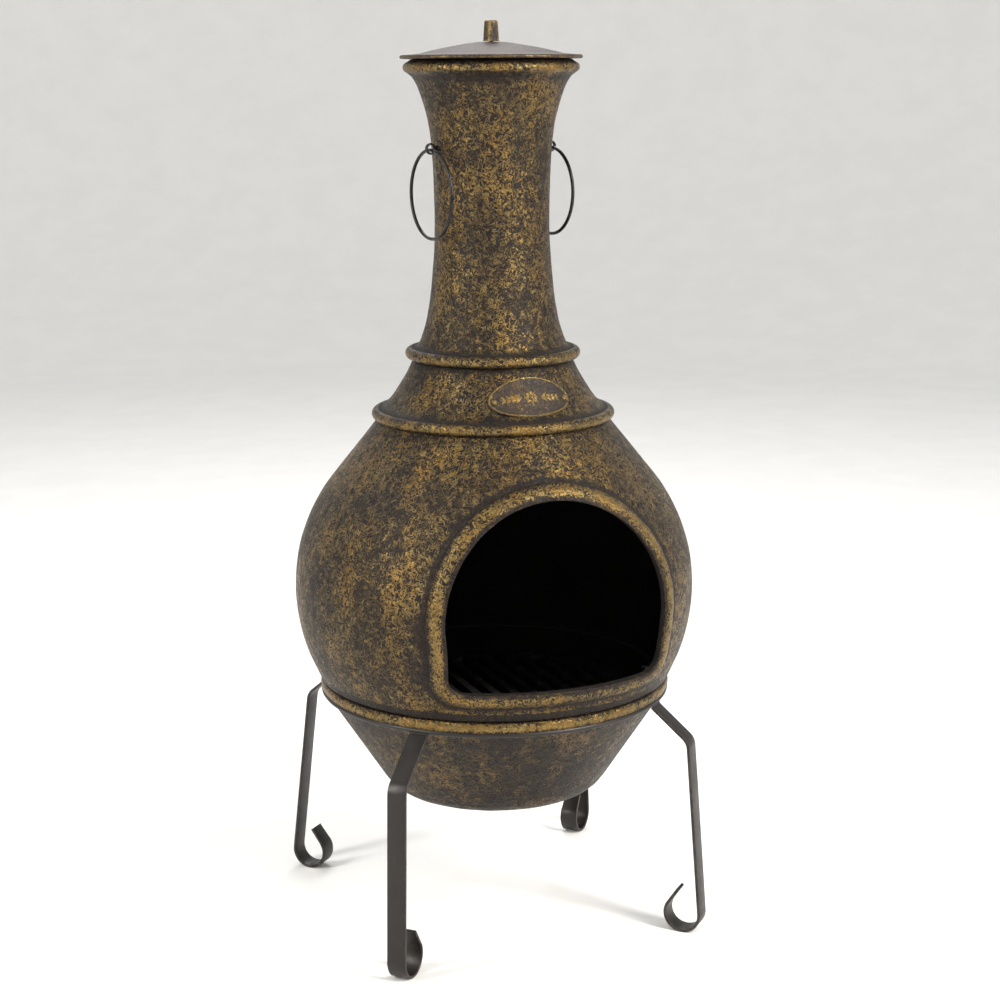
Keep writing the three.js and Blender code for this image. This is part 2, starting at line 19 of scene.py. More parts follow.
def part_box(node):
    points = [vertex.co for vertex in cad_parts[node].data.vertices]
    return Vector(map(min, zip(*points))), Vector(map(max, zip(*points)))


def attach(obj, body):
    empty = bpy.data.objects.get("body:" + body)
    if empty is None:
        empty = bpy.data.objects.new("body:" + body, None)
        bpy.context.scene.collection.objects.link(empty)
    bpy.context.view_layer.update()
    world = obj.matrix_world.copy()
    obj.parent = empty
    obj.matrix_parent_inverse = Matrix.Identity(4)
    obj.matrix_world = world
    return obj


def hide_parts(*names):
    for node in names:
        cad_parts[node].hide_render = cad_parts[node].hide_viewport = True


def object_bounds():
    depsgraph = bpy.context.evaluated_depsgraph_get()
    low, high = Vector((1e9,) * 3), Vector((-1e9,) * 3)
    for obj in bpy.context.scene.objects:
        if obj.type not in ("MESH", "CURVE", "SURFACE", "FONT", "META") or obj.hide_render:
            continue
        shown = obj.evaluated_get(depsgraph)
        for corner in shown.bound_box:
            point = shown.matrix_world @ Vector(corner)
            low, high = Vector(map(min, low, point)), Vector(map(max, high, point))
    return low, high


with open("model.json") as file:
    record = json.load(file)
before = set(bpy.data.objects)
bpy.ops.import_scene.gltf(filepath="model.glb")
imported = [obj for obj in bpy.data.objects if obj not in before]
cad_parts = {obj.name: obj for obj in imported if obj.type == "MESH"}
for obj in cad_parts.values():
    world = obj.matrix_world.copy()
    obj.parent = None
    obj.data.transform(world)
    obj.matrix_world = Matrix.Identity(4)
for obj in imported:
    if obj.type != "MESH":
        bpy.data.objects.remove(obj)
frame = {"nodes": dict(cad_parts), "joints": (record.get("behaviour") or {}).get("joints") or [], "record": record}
cad_low, cad_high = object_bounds()

MM = 0.001
WALL = 6 * MM
NECK_TURN = 8.4  # degrees that the neck stands turned on the collar
WAIST_THROAT = 132 * MM  # radii of the holes through which the castings open into each other
NECK_THROAT = 80 * MM
BELLY_FOOT_OPENING = 222.4 * MM
BOWL_SEAT = 231 * MM
BOWL_INSIDE = 216.4 * MM
ROW_GAP = 4.5 * MM  # between the rows of vertices on a casting

# The mouth's arched outline, in X and Z, and the cast rim round it
MOUTH = {
    "sill": 372.5 * MM,
    "sill_half": 116 * MM,
    "side_foot": 399 * MM,
    "side_half": 143.5 * MM,
    "centre": 458 * MM,
    "radius": 148.5 * MM,
}
RIM_CREST = 13 * MM
RIM_EDGE = 21 * MM
# Offset outwards from the mouth's edge, and height above the belly, both in millimetres
RIM_PROFILE = [
    (8, -7),
    (0, -7),
    (0, -3),
    (0, 0.5),
    (0.5, 2.4),
    (1.8, 3.7),
    (4, 4.5),
    (7, 5.0),
    (10, 5.7),
    (13, 6.0),
    (15.5, 5.6),
    (17.8, 4.5),
    (19.6, 2.9),
    (20.8, 1.0),
    (21.2, -1.5),
    (17, -4),
    (10, -4),
]

# The stand's strap, bent at a slant, a knee and a scroll. The scroll is bent in equal steps.
STRAP = {
    "width": 26 * MM,
    "thickness": 4 * MM,
    "corner": 0.9 * MM,
    "slant": 40,
    "knee": 20 * MM,
    "scroll": 24 * MM,
    "tip": 24 * MM,
}
SCROLL_STEPS = 15
STEPS_TO_FLAT = 6.5  # of those steps, from the ankle to the floor
LEG_SPLAY = {"front_left": 2, "front_right": 4.5, "back_left": 7, "back_right": 4.5}

# The oval plate. The field and the border are heights above the collar.
PLATE = {
    "azimuth": 2,
    "centre": 723.6 * MM,
    "half_width": 56 * MM,
    "half_height": 28 * MM,
    "field": 2.0 * MM,
    "border": 3.1 * MM,
    "border_width": 3.4 * MM,
}
PLATE_BACK = 0.4 * MM
RIVET_AZIMUTH = 22
RIVET_HEIGHT = 720 * MM
RIVET_PROUD = 1.0 * MM

# Rings and eyes
RING_RADIUS = 56.5 * MM
RING_WIRE = 2.25 * MM
EYE_LOOP = 6 * MM
EYE_WIRE = 1.5 * MM

DARK_IRON = (0.014, 0.0095, 0.0075)
BARE_BRONZED_IRON = (0.043, 0.033, 0.024)
TRIM_IRON = (0.04, 0.03, 0.025)
BRONZE = (0.235, 0.165, 0.062)
SOOT = (0.008, 0.0075, 0.007)


def rad(degrees):
    return math.radians(degrees)


def polar(radius, azimuth, height=0.0):
    return Vector((radius * math.sin(rad(azimuth)), -radius * math.cos(rad(azimuth)), height))


# Sections: lists of (radius, height)


def arc(radius, height, size, start, end, steps):
    """Points on a circle round (radius, height), from one angle to another."""
    angles = [rad(start + (end - start) * i / steps) for i in range(steps + 1)]
    return [(radius + size * math.cos(a), height + size * math.sin(a)) for a in angles]


def smooth(points, steps):
    """A Catmull-Rom curve through the points, with the same number of steps between each two."""
    p = np.array([points[0], *points, points[-1]], float)
    p[0] = 2 * p[1] - p[2]
    p[-1] = 2 * p[-2] - p[-3]
    out = []
    for a, b, c, d in zip(p, p[1:], p[2:], p[3:]):
        for t in np.arange(steps) / steps:
            q = 2 * b + (c - a) * t + (2 * a - 5 * b + 4 * c - d) * t**2 + (3 * b - a - 3 * c + d) * t**3
            out.append(tuple(q / 2))
    out.append(tuple(p[-2]))
    return out


def straight(start, end, steps):
    """Points from start up to, and without, end."""
    (r0, z0), (r1, z1) = start, end
    return [(r0 + (r1 - r0) * i / steps, z0 + (z1 - z0) * i / steps) for i in range(steps)]


def spaced(points, gap):
    """The same line, with points at even gaps along it."""
    line = np.array(points)
    length = np.concatenate([[0], np.cumsum(np.hypot(*np.diff(line, axis=0).T))])
    at = np.linspace(0, length[-1], max(int(length[-1] / gap), 1) + 1)
    return list(zip(np.interp(at, length, line[:, 0]), np.interp(at, length, line[:, 1])))


def widened(points, extra):
    return [(r + extra, z) for r, z in points]


def outline(node, azimuth):
    """The outer (radius, height) points of a turned CAD node along one meridian, foot first."""
    mesh = frame["nodes"][node].data
    tree = BVHTree.FromPolygons([v.co for v in mesh.vertices], [p.vertices[:] for p in mesh.polygons])
    ahead = polar(1, azimuth)
    widest = {}
    for vertex in mesh.vertices:
        co = vertex.co
        along = co.x * ahead.x + co.y * ahead.y
        across = co.x * ahead.y - co.y * ahead.x
        if along > 0 and abs(across) < 0.01 * MM:
            height = round(co.z, 5)
            widest[height] = max(widest.get(height, 0), along)
    points = []
    for height, radius in sorted(widest.items()):
        start = polar(1, azimuth + 0.02, height)
        hit = tree.ray_cast(start, -start + Vector((0, 0, height)))[0]
        if hit is None or math.hypot(hit.x, hit.y) < radius + 0.4 * MM:
            points.append((radius, height))
    return points


def between(points, low, high):
    return [(r, z) for r, z in points if low <= z <= high]


def radius_at(points, height):
    """The section's radius at a height or an array of heights."""
    r, z = np.array(points).T
    return np.interp(height, z, r)


# Meshes


def make(name, vertices, faces, sharp=38):
    """An object with smooth shading, and sharp edges where faces meet at more than an angle."""
    mesh = bpy.data.meshes.new(name)
    mesh.from_pydata([tuple(map(float, v)) for v in vertices], [], [tuple(map(int, f)) for f in faces])
    work = bmesh.new()
    work.from_mesh(mesh)
    bmesh.ops.remove_doubles(work, verts=work.verts, dist=1e-6)
    work.to_mesh(mesh)
    work.free()
    obj = bpy.data.objects.new(name, mesh)
    bpy.context.scene.collection.objects.link(obj)
    shade(obj, sharp)
    return obj


def shade(obj, sharp):
    obj.data.shade_smooth()
    obj.data.set_sharp_from_angle(angle=rad(sharp))


def grid_faces(rows, columns, close_rows, close_columns):
    """Quads on a grid of vertices, row by row; either way can close on itself."""
    i = np.arange(rows if close_rows else rows - 1)[:, None]
    k = np.arange(columns if close_columns else columns - 1)[None, :]
    below, above = i * columns, ((i + 1) % rows) * columns
    after = (k + 1) % columns
    return np.stack([below + k, below + after, above + after, above + k], -1).reshape(-1, 4)


def capped(rows, columns):
    """A grid closed round its columns, with a flat face at each end."""
    faces = [tuple(f) for f in grid_faces(rows, columns, False, True)]
    first = tuple(range(columns))[::-1]
    last = tuple((rows - 1) * columns + k for k in range(columns))
    return [*faces, first, last]


def turned(name, section, facets, sharp=38):
    """A closed section turned about +Z. It walks up its outside and down its inside."""
    r, z = np.array(section).T
    turns = np.arange(facets) * 2 * math.pi / facets
    x = r[:, None] * np.sin(turns)
    y = -r[:, None] * np.cos(turns)
    vertices = np.stack([x, y, np.broadcast_to(z[:, None], x.shape)], -1).reshape(-1, 3)
    closed = r[0] > 1e-9 or r[-1] > 1e-9
    return make(name, vertices, grid_faces(len(r), facets, closed, True), sharp)


def swept(name, path, radius, sides=14, closed=False, sharp=60):
    """A round wire along a path of points, with flat ends or closed into a ring."""
    points = [Vector(p) for p in path]
    count = len(points)
    tangents = []
    for i in range(count):
        ahead = points[(i + 1) % count] if closed else points[min(i + 1, count - 1)]
        behind = points[i - 1] if closed else points[max(i - 1, 0)]
        tangents.append((ahead - behind).normalized())
    side = tangents[0].orthogonal().normalized()
    vertices = []
    for point, tangent in zip(points, tangents):
        side = (side - tangent * side.dot(tangent)).normalized()
        up = tangent.cross(side)
        for k in range(sides):
            a = 2 * math.pi * k / sides
            vertices.append(point + radius * (side * math.cos(a) + up * math.sin(a)))
    faces = grid_faces(count, sides, True, True) if closed else capped(count, sides)
    return make(name, vertices, faces, sharp)


def joined(name, objects):
    """One object out of several, made by joining their meshes."""
    work = bmesh.new()
    for obj in objects:
        work.from_mesh(obj.data)
        bpy.data.objects.remove(obj)
    mesh = bpy.data.meshes.new(name)
    work.to_mesh(mesh)
    work.free()
    whole = bpy.data.objects.new(name, mesh)
    bpy.context.scene.collection.objects.link(whole)
    return whole


def combine(obj, tool, operation):
    """Cuts or joins a solid with another, which is then removed."""
    modifier = obj.modifiers.new(operation.lower(), "BOOLEAN")
    modifier.object = tool
    modifier.operation = operation
    modifier.solver = "MANIFOLD"
    bpy.context.view_layer.update()
    mesh = bpy.data.meshes.new_from_object(obj.evaluated_get(bpy.context.evaluated_depsgraph_get()))
    obj.modifiers.clear()
    obj.data = mesh
    bpy.data.objects.remove(tool)


def places(obj):
    """The vertices of a mesh as an array with a row (x, y, z) for each."""
    flat = np.empty(len(obj.data.vertices) * 3)
    obj.data.vertices.foreach_get("co", flat)
    return flat.reshape(-1, 3)


def uneven(obj, depth, size, share=1.0):
    """Sinks the surface by up to depth in soft lumps, as sand-cast iron comes from its mould."""
    mesh = obj.data
    co = places(obj)
    normals = np.empty(co.size)
    mesh.vertex_normals.foreach_get("vector", normals)
    lumps = [
        0.5 + 0.35 * noise.noise(Vector(place / size)) + 0.2 * noise.noise(Vector(place * 2.7 / size))
        for place in co
    ]
    sink = depth * share * np.clip(lumps, 0, 1)
    mesh.vertices.foreach_set("co", (co - normals.reshape(-1, 3) * sink[:, None]).ravel())
    mesh.update()


def paint(obj, layer, value):
    """Stores a value for each vertex, for the materials to read by the layer's name."""
    attribute = obj.data.attributes.new(layer, "FLOAT", "POINT")
    attribute.data.foreach_set("value", np.broadcast_to(value, len(obj.data.vertices)).astype(np.float32))


def crest(co, radius, height, width):
    """1 on a ring of the casting, falling to 0 at about one width from it."""
    off = np.hypot(np.hypot(co[:, 0], co[:, 1]) - radius, co[:, 2] - height) / width
    return np.exp(-2 * off * off)


def finish_piece(obj, body, slot, material, *nodes):
    """Gives a piece its finish and its body, and hides the CAD nodes it stands for. The slot is not used."""
    obj.data.materials.clear()
    obj.data.materials.append(material)
    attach(obj, body)
    if nodes:
        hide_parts(*nodes)


# Materials


class Nodes:
    """Short spellings for the shader nodes that the finishes are made of."""

    def __init__(self, name):
        self.material = bpy.data.materials.new(name)
        self.material.use_nodes = True
        self.tree = self.material.node_tree
        self.shader = self.tree.nodes["Principled BSDF"]
        self.place = self.tree.nodes.new("ShaderNodeTexCoord").outputs["Object"]

    def node(self, kind, inputs, output, **settings):
        made = self.tree.nodes.new(kind)
        for key, value in settings.items():
            setattr(made, key, value)
        for key, value in inputs.items():
            self.feed(made.inputs[key], value)
        return made.outputs[output]

    def feed(self, socket, value):
        if isinstance(value, bpy.types.NodeSocket):
            self.tree.links.new(value, socket)
        else:
            socket.default_value = value

    def math(self, operation, a, b=0.0, clamp=False):
        return self.node("ShaderNodeMath", {0: a, 1: b}, 0, operation=operation, use_clamp=clamp)

    def add(self, *terms):
        total = terms[0]
        for term in terms[1:]:
            total = self.math("ADD", total, term)
        return total

    def times(self, a, b):
        return self.math("MULTIPLY", a, b)

    def noise(self, scale, detail=2.0, roughness=0.5, distortion=0.0, vector=None):
        inputs = {
            "Vector": vector or self.place,
            "Scale": scale,
            "Detail": detail,
            "Roughness": roughness,
            "Distortion": distortion,
        }
        return self.node("ShaderNodeTexNoise", inputs, "Fac")

    def warped(self, scale, reach):
        """The place, shifted by a slow noise, so that patterns on it wander."""
        inputs = {"Vector": self.place, "Scale": scale, "Detail": 1.0}
        drift = self.node("ShaderNodeTexNoise", inputs, "Color")
        inputs = {0: drift, 1: (reach,) * 3, 2: self.place}
        return self.node("ShaderNodeVectorMath", inputs, 0, operation="MULTIPLY_ADD")

    def stretched(self, x, y, z):
        inputs = {0: self.place, 1: (x, y, z)}
        return self.node("ShaderNodeVectorMath", inputs, 0, operation="MULTIPLY")

    def step(self, value, low, high, to_low=0.0, to_high=1.0):
        """A soft step between two values, from to_low up to to_high."""
        inputs = {"Value": value, "From Min": low, "From Max": high, "To Min": to_low, "To Max": to_high}
        return self.node("ShaderNodeMapRange", inputs, 0, interpolation_type="SMOOTHSTEP")

    def layer(self, name):
        return self.node("ShaderNodeAttribute", {}, "Fac", attribute_name=name)

    def mix(self, share, a, b):
        """Colours a and b, given as sockets or (r, g, b)."""
        colours = [(*c, 1.0) if isinstance(c, tuple) else c for c in (a, b)]
        inputs = {0: share, 6: colours[0], 7: colours[1]}
        return self.node("ShaderNodeMix", inputs, 2, data_type="RGBA")

    def bump(self, height, distance, strength):
        inputs = {"Height": height, "Distance": distance, "Strength": strength}
        return self.node("ShaderNodeBump", inputs, 0)

    def finish(self, **inputs):
        for key, value in inputs.items():
            key = key.replace("_", " ")
            if isinstance(value, tuple) and len(value) == 3:
                value = (*value, 1.0)
            self.feed(self.shader.inputs[key], value)
        return self.material


def bronzed_iron(name, dark, bronze, rubbing=0.0, relief=1.0, grain=290.0):
    """Dark cast iron with a fine wrinkled grain, its crests rubbed with bronze paint.

    Two mesh layers steer it: one adds bronze on rubbed crests and, where it is negative, takes bronze away as
    painted shade in grooves and under beads; soot makes it burnt black."""
    n = Nodes(name)
    wander = n.warped(70, 0.007)
    wrinkle = n.noise(grain * 0.55, 2.5, 0.6, 1.2, vector=wander)
    ridge = n.step(n.math("ABSOLUTE", n.math("SUBTRACT", wrinkle, 0.5)), 0.10, 0.01)
    lumps = n.noise(grain * 0.34, 2.5, 0.6, vector=wander)
    pits = n.noise(grain * 2.2, 2, 0.6)
    relief_height = n.add(n.times(ridge, 0.45), n.times(lumps, 0.75), n.times(pits, 0.28))

    patches = n.noise(11, 3, 0.55)
    streaks = n.noise(26, 3, 0.6, vector=n.stretched(1, 1, 0.22))
    rub_and_painted_shade = n.layer("rub_and_painted_shade")
    soot = n.layer("soot")
    # Bronze reach: relief, patches, streaks and the mesh layer, which adds bronze on rubbed crests and takes it
    # away, as painted shade, in grooves and under beads.
    bronze_reach_with_painted_shade = n.add(
        relief_height,
        n.step(patches, 0.36, 0.66, -0.07, 0.09),
        n.step(streaks, 0.35, 0.65, -0.08, 0.08),
        n.times(rub_and_painted_shade, 0.55),
        rubbing,
    )
    bronze_share_after_painted_shade = n.times(n.step(bronze_reach_with_painted_shade, 0.68, 1.15), n.math("SUBTRACT", 1.0, soot, clamp=True))

    tint = n.noise(19, 2)
    iron = n.mix(n.step(tint, 0.35, 0.65), dark, tuple(c * k for c, k in zip(dark, (0.78, 0.86, 1.02))))
    iron = n.mix(n.step(relief_height, 0.45, 0.85, 0.0, 0.35), iron, BARE_BRONZED_IRON)
    copper = tuple(c * k for c, k in zip(bronze, (1.0, 0.88, 0.72)))
    warm = n.mix(n.step(streaks, 0.4, 0.65), bronze, copper)
    colour = n.mix(n.times(bronze_share_after_painted_shade, 0.9), iron, warm)
    colour = n.mix(soot, colour, SOOT)

    rough = n.step(pits, 0.3, 0.7, 0.42, 0.58)
    rough = n.add(rough, n.times(bronze_share_after_painted_shade, -0.17), n.times(soot, 0.3))
    metal = n.add(n.times(bronze_share_after_painted_shade, 0.42), n.times(soot, -0.45), 0.5)
    depth = n.bump(relief_height, 1.7 * MM * relief, 1.0)
    n.shader.inputs["Specular IOR Level"].default_value = 0.3
    return n.finish(Base_Color=colour, Roughness=rough, Metallic=metal, Normal=depth)


def lid_iron():
    """Smooth brown cast iron with a fine grain, bronze flecks along the brim's edge."""
    n = Nodes("brown_lid_iron")
    grain = n.noise(620, 2, 0.65)
    specks = n.noise(300, 2, 0.6)
    clouds = n.noise(24, 3, 0.6)
    rub_and_painted_shade = n.layer("rub_and_painted_shade")
    soot = n.layer("soot")
    colour = n.mix(n.step(clouds, 0.35, 0.68), (0.024, 0.016, 0.013), (0.038, 0.026, 0.021))
    colour = n.mix(n.step(grain, 0.4, 0.7, 0.0, 0.6), colour, (0.06, 0.042, 0.034))
    flecks = n.step(n.add(n.times(specks, 0.9), n.times(rub_and_painted_shade, 0.28), n.times(clouds, 0.25)), 0.74, 0.95)
    colour = n.mix(n.times(flecks, 0.85), colour, (0.15, 0.105, 0.045))
    colour = n.mix(soot, colour, (0.01, 0.009, 0.008))
    rough = n.add(n.step(grain, 0.3, 0.7, 0.46, 0.62), n.times(flecks, -0.15))
    metal = n.add(n.times(flecks, 0.4), 0.45)
    n.shader.inputs["Specular IOR Level"].default_value = 0.25
    depth = n.bump(n.add(n.times(grain, 0.6), specks), 0.35 * MM, 0.8)
    return n.finish(Base_Color=colour, Roughness=rough, Metallic=metal, Normal=depth)


def stand_paint():
    """Dark brown satin paint on bent strap, thin and scuffed along its edges."""
    n = Nodes("stand_paint")
    peel = n.noise(420, 2, 0.5)
    clouds = n.noise(30, 3, 0.6)
    scuffs = n.noise(210, 3, 0.7, vector=n.stretched(1, 1, 0.35))
    worn = n.step(n.add(n.times(n.layer("rub_and_painted_shade"), 0.32), scuffs), 0.76, 0.88)
    colour = n.mix(n.step(clouds, 0.35, 0.65), (0.0085, 0.0062, 0.0054), (0.014, 0.0102, 0.0086))
    colour = n.mix(worn, colour, (0.04, 0.031, 0.026))
    rough = n.add(n.step(clouds, 0.3, 0.7, 0.36, 0.5), n.times(worn, 0.12))
    depth = n.bump(n.add(peel, n.times(scuffs, 0.5)), 0.16 * MM, 0.6)
    return n.finish(Base_Color=colour, Roughness=rough, Metallic=0.25, Normal=depth)


def black_wire():
    """Black gloss paint on round wire."""
    n = Nodes("black_wire")
    peel = n.noise(500, 2, 0.5)
    dust = n.noise(90, 3, 0.65)
    colour = n.mix(n.step(dust, 0.45, 0.75), (0.008, 0.007, 0.0085), (0.028, 0.024, 0.024))
    rough = n.step(dust, 0.35, 0.7, 0.2, 0.42)
    return n.finish(Base_Color=colour, Roughness=rough, Metallic=0.5, Normal=n.bump(peel, 0.12 * MM, 0.5))


def bolt_steel():
    """Zinc-plated bolts, dulled and browned by heat."""
    n = Nodes("heat_stained_bolts")
    stain = n.noise(120, 3, 0.6)
    scratch = n.noise(900, 2, 0.6, vector=n.stretched(1, 1, 0.15))
    colour = n.mix(n.step(stain, 0.35, 0.65), (0.22, 0.21, 0.2), (0.11, 0.075, 0.05))
    rough = n.step(scratch, 0.3, 0.7, 0.35, 0.6)
    normal = n.bump(scratch, 0.08 * MM, 0.5)
    return n.finish(Base_Color=colour, Roughness=rough, Metallic=0.9, Normal=normal)


def sooty_iron():
    """Bare grate iron under soot and pale ash dust."""
    n = Nodes("sooty_grate_iron")
    crust = n.noise(260, 3, 0.6)
    dust = n.noise(40, 3, 0.65)
    colour = n.mix(n.step(dust, 0.5, 0.75, 0.0, 0.5), (0.012, 0.011, 0.0105), (0.09, 0.083, 0.076))
    rough = n.step(crust, 0.3, 0.7, 0.75, 0.95)
    return n.finish(Base_Color=colour, Roughness=rough, Metallic=0.15, Normal=n.bump(crust, 0.6 * MM, 0.8))


# Castings


def soot_inside(co, points):
    """A layer that is 1 on a casting's inside surfaces and 0 on its outer section."""
    sunk = radius_at(points, co[:, 2]) - np.hypot(co[:, 0], co[:, 1])
    return np.clip((sunk - 1.2 * MM) / (1.8 * MM), 0, 1)


def bowl(material):
    points = outline("base_bowl", 0)
    low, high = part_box("base_bowl")
    rim_foot = min(z for r, z in points if r > high.x - 1 * MM) - 3 * MM
    wall_top = max(z for r, z in points if z < rim_foot + 0.5 * MM)
    wall = between(points, low.z - MM, wall_top)
    rim_top = high.z - 2.2 * MM
    half = (rim_top - rim_foot) / 2
    bead = [
        (high.x - 4 * MM + 4 * MM * math.cos(a), rim_foot + half + half * math.sin(a))
        for a in np.linspace(-math.pi / 2, math.pi / 2, 15)
    ]
    corner = wall[:-1]
    inside = widened(smooth(corner, 5), -WALL * 0.93)
    inside = [(r, z + WALL * 0.37) for r, z in inside if r > 0]
    section = [
        (0, low.z),
        *straight((0.012, low.z), corner[0], 16),
        *smooth(corner, 6)[:-1],
        *straight(corner[-1], wall[-1], 44),
        wall[-1],
        *bead,
        (BOWL_SEAT + 1 * MM, rim_top),
        (BOWL_SEAT, rim_top + 0.6 * MM),
        (BOWL_SEAT, high.z),
        (BOWL_INSIDE, high.z),
        *straight((BOWL_INSIDE, high.z - 2 * MM), (BOWL_INSIDE, high.z - 20 * MM), 4),
        *reversed(straight(inside[-1], (BOWL_INSIDE, high.z - 40 * MM), 12)),
        *reversed(inside[:-1]),
        (0, low.z + WALL),
    ]
    obj = turned("bowl_casting", section, 400)
    soot = soot_inside(places(obj), points)
    uneven(obj, 0.7 * MM, 0.035, 1 - soot)
    paint(obj, "soot", soot)
    near = crest(places(obj), high.x, rim_foot + half, 7 * MM)
    paint(obj, "rub_and_painted_shade", np.where(near > 0.1, 0.7 * near, -0.2))
    finish_piece(obj, "body", "bronzed_iron", material, "base_bowl")


def mouth_outline(grow, spacing):
    """The mouth's outline as closed (x, z) points, grown outwards, evenly spaced."""
    sill = MOUTH["sill"] - grow
    side = MOUTH["side_half"] + grow
    corner = []
    for i in range(13):
        t = i / 12
        x = MOUTH["sill_half"] * (1 - t) ** 2 + side * 2 * t * (1 - t) + side * t * t
        z = sill * (1 - t) ** 2 + sill * 2 * t * (1 - t) + MOUTH["side_foot"] * t * t
        corner.append((x, z))
    circle = MOUTH["radius"] + grow
    arch = [
        (circle * math.cos(a), MOUTH["centre"] + circle * math.sin(a))
        for a in np.linspace(0, math.pi, 90)
    ]
    rise = MOUTH["centre"] - MOUTH["side_foot"]
    jamb = [
        (side + (arch[0][0] - side) * t, MOUTH["side_foot"] + rise * t)
        for t in np.linspace(0.1, 0.9, 9)
    ]
    right = [*corner, *jamb]
    left = [(-x, z) for x, z in reversed(right)]
    closed = np.array([*right, *arch, *left, right[0]])
    length = np.concatenate([[0], np.cumsum(np.hypot(*np.diff(closed, axis=0).T))])
    count = int(length[-1] / spacing)
    at = np.arange(count) * length[-1] / count
    return np.stack([np.interp(at, length, closed[:, 0]), np.interp(at, length, closed[:, 1])], -1)


def belly_surface(points, x, z, height):
    """The Y of the belly's front at (x, z), grown by a height."""
    radius = np.interp(z, [p[1] for p in points], [p[0] for p in points]) + height
    return -np.sqrt(np.maximum(radius**2 - x**2, 1e-9))


def mouth_rim(points):
    """The cast rim, as a closed sweep of its profile round the mouth."""
    edge = mouth_outline(0, 2.4 * MM)
    along = np.roll(edge, -1, 0) - np.roll(edge, 1, 0)
    along /= np.linalg.norm(along, axis=1)[:, None]
    outward = np.stack([along[:, 1], -along[:, 0]], -1)
    rows = []
    for offset, height in RIM_PROFILE:
        xz = edge + outward * offset * MM
        y = belly_surface(points, xz[:, 0], xz[:, 1], height * MM)
        rows.append(np.stack([xz[:, 0], y, xz[:, 1]], -1))
    faces = grid_faces(len(rows), len(edge), True, True)[:, ::-1]
    return make("rim", np.concatenate(rows), faces)


def mouth_cutter(grow):
    """A plug through the belly's front, in the shape of the mouth."""
    edge = mouth_outline(grow, 4 * MM)
    vertices = [(x, y, z) for y in (-0.32, -0.09) for x, z in edge]
    faces = [face[::-1] for face in capped(2, len(edge))]
    return make("plug", vertices, faces)


def from_mouth(co):
    """How far each point of the belly's front is from the mouth's edge; far, for other points."""
    out = np.full(len(co), 1.0)
    front = np.where((co[:, 1] < -0.1) & (abs(co[:, 0]) < 0.2) & (co[:, 2] < 0.66))[0]
    for x, z in mouth_outline(0, 3 * MM):
        out[front] = np.minimum(out[front], np.hypot(co[front, 0] - x, co[front, 2] - z))
    return out


def belly(material):
    points = outline("belly", 180)
    low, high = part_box("belly")
    outer = smooth(points, 1)
    foot = [p for p in points if p[1] < low.z + 12 * MM]
    curve = spaced(smooth([p for p in points if p[1] >= foot[-1][1]], 8), ROW_GAP)
    inner = [(r, z) for r, z in widened(curve, -WALL) if low.z + WALL < z < high.z - WALL]
    section = [
        *straight((foot[0][0] - 0.8 * MM, low.z), (foot[0][0], low.z + 0.8 * MM), 2),
        *straight((foot[0][0], low.z + 0.8 * MM), curve[0], 4),
        *curve,
        (WAIST_THROAT, high.z),
        (WAIST_THROAT, high.z - WALL),
        (inner[-1][0] - 1 * MM, high.z - WALL),
        *reversed(inner[::3]),
        (foot[0][0] - WALL, low.z + WALL),
        (BELLY_FOOT_OPENING, low.z + WALL),
        (BELLY_FOOT_OPENING, low.z),
    ]
    obj = turned("belly_casting", section, 360)
    combine(obj, mouth_cutter(3 * MM), "DIFFERENCE")
    combine(obj, mouth_rim(outer), "UNION")
    shade(obj, 38)
    soot = soot_inside(places(obj), outer)
    uneven(obj, 0.8 * MM, 0.04, 1 - soot)

    co = places(obj)
    out = from_mouth(co)
    on_crest = np.exp(-(((out - RIM_CREST) / (6 * MM)) ** 2))
    # Painted shade: the crease where the rim meets the belly gets less bronze and reads dark.
    rim_groove_shade = np.exp(-(((out - RIM_EDGE - 1.5 * MM) / (2.2 * MM)) ** 2))
    sill = np.where(co[:, 2] < MOUTH["sill"] + 4 * MM, 0.35, 1.0)
    rub_and_painted_shade = 0.6 * on_crest * sill - 1.2 * rim_groove_shade - 0.5 * (out < 5 * MM)
    # Painted shade: the foot band under the belly's bulge gets less bronze and reads dark.
    rub_and_painted_shade -= 0.7 * (co[:, 2] < foot[-1][1] - 1 * MM)
    paint(obj, "soot", np.where(out < 2 * MM, 0.75 * soot, soot))
    paint(obj, "rub_and_painted_shade", rub_and_painted_shade)
    finish_piece(obj, "body", "bronzed_iron", material, "belly")


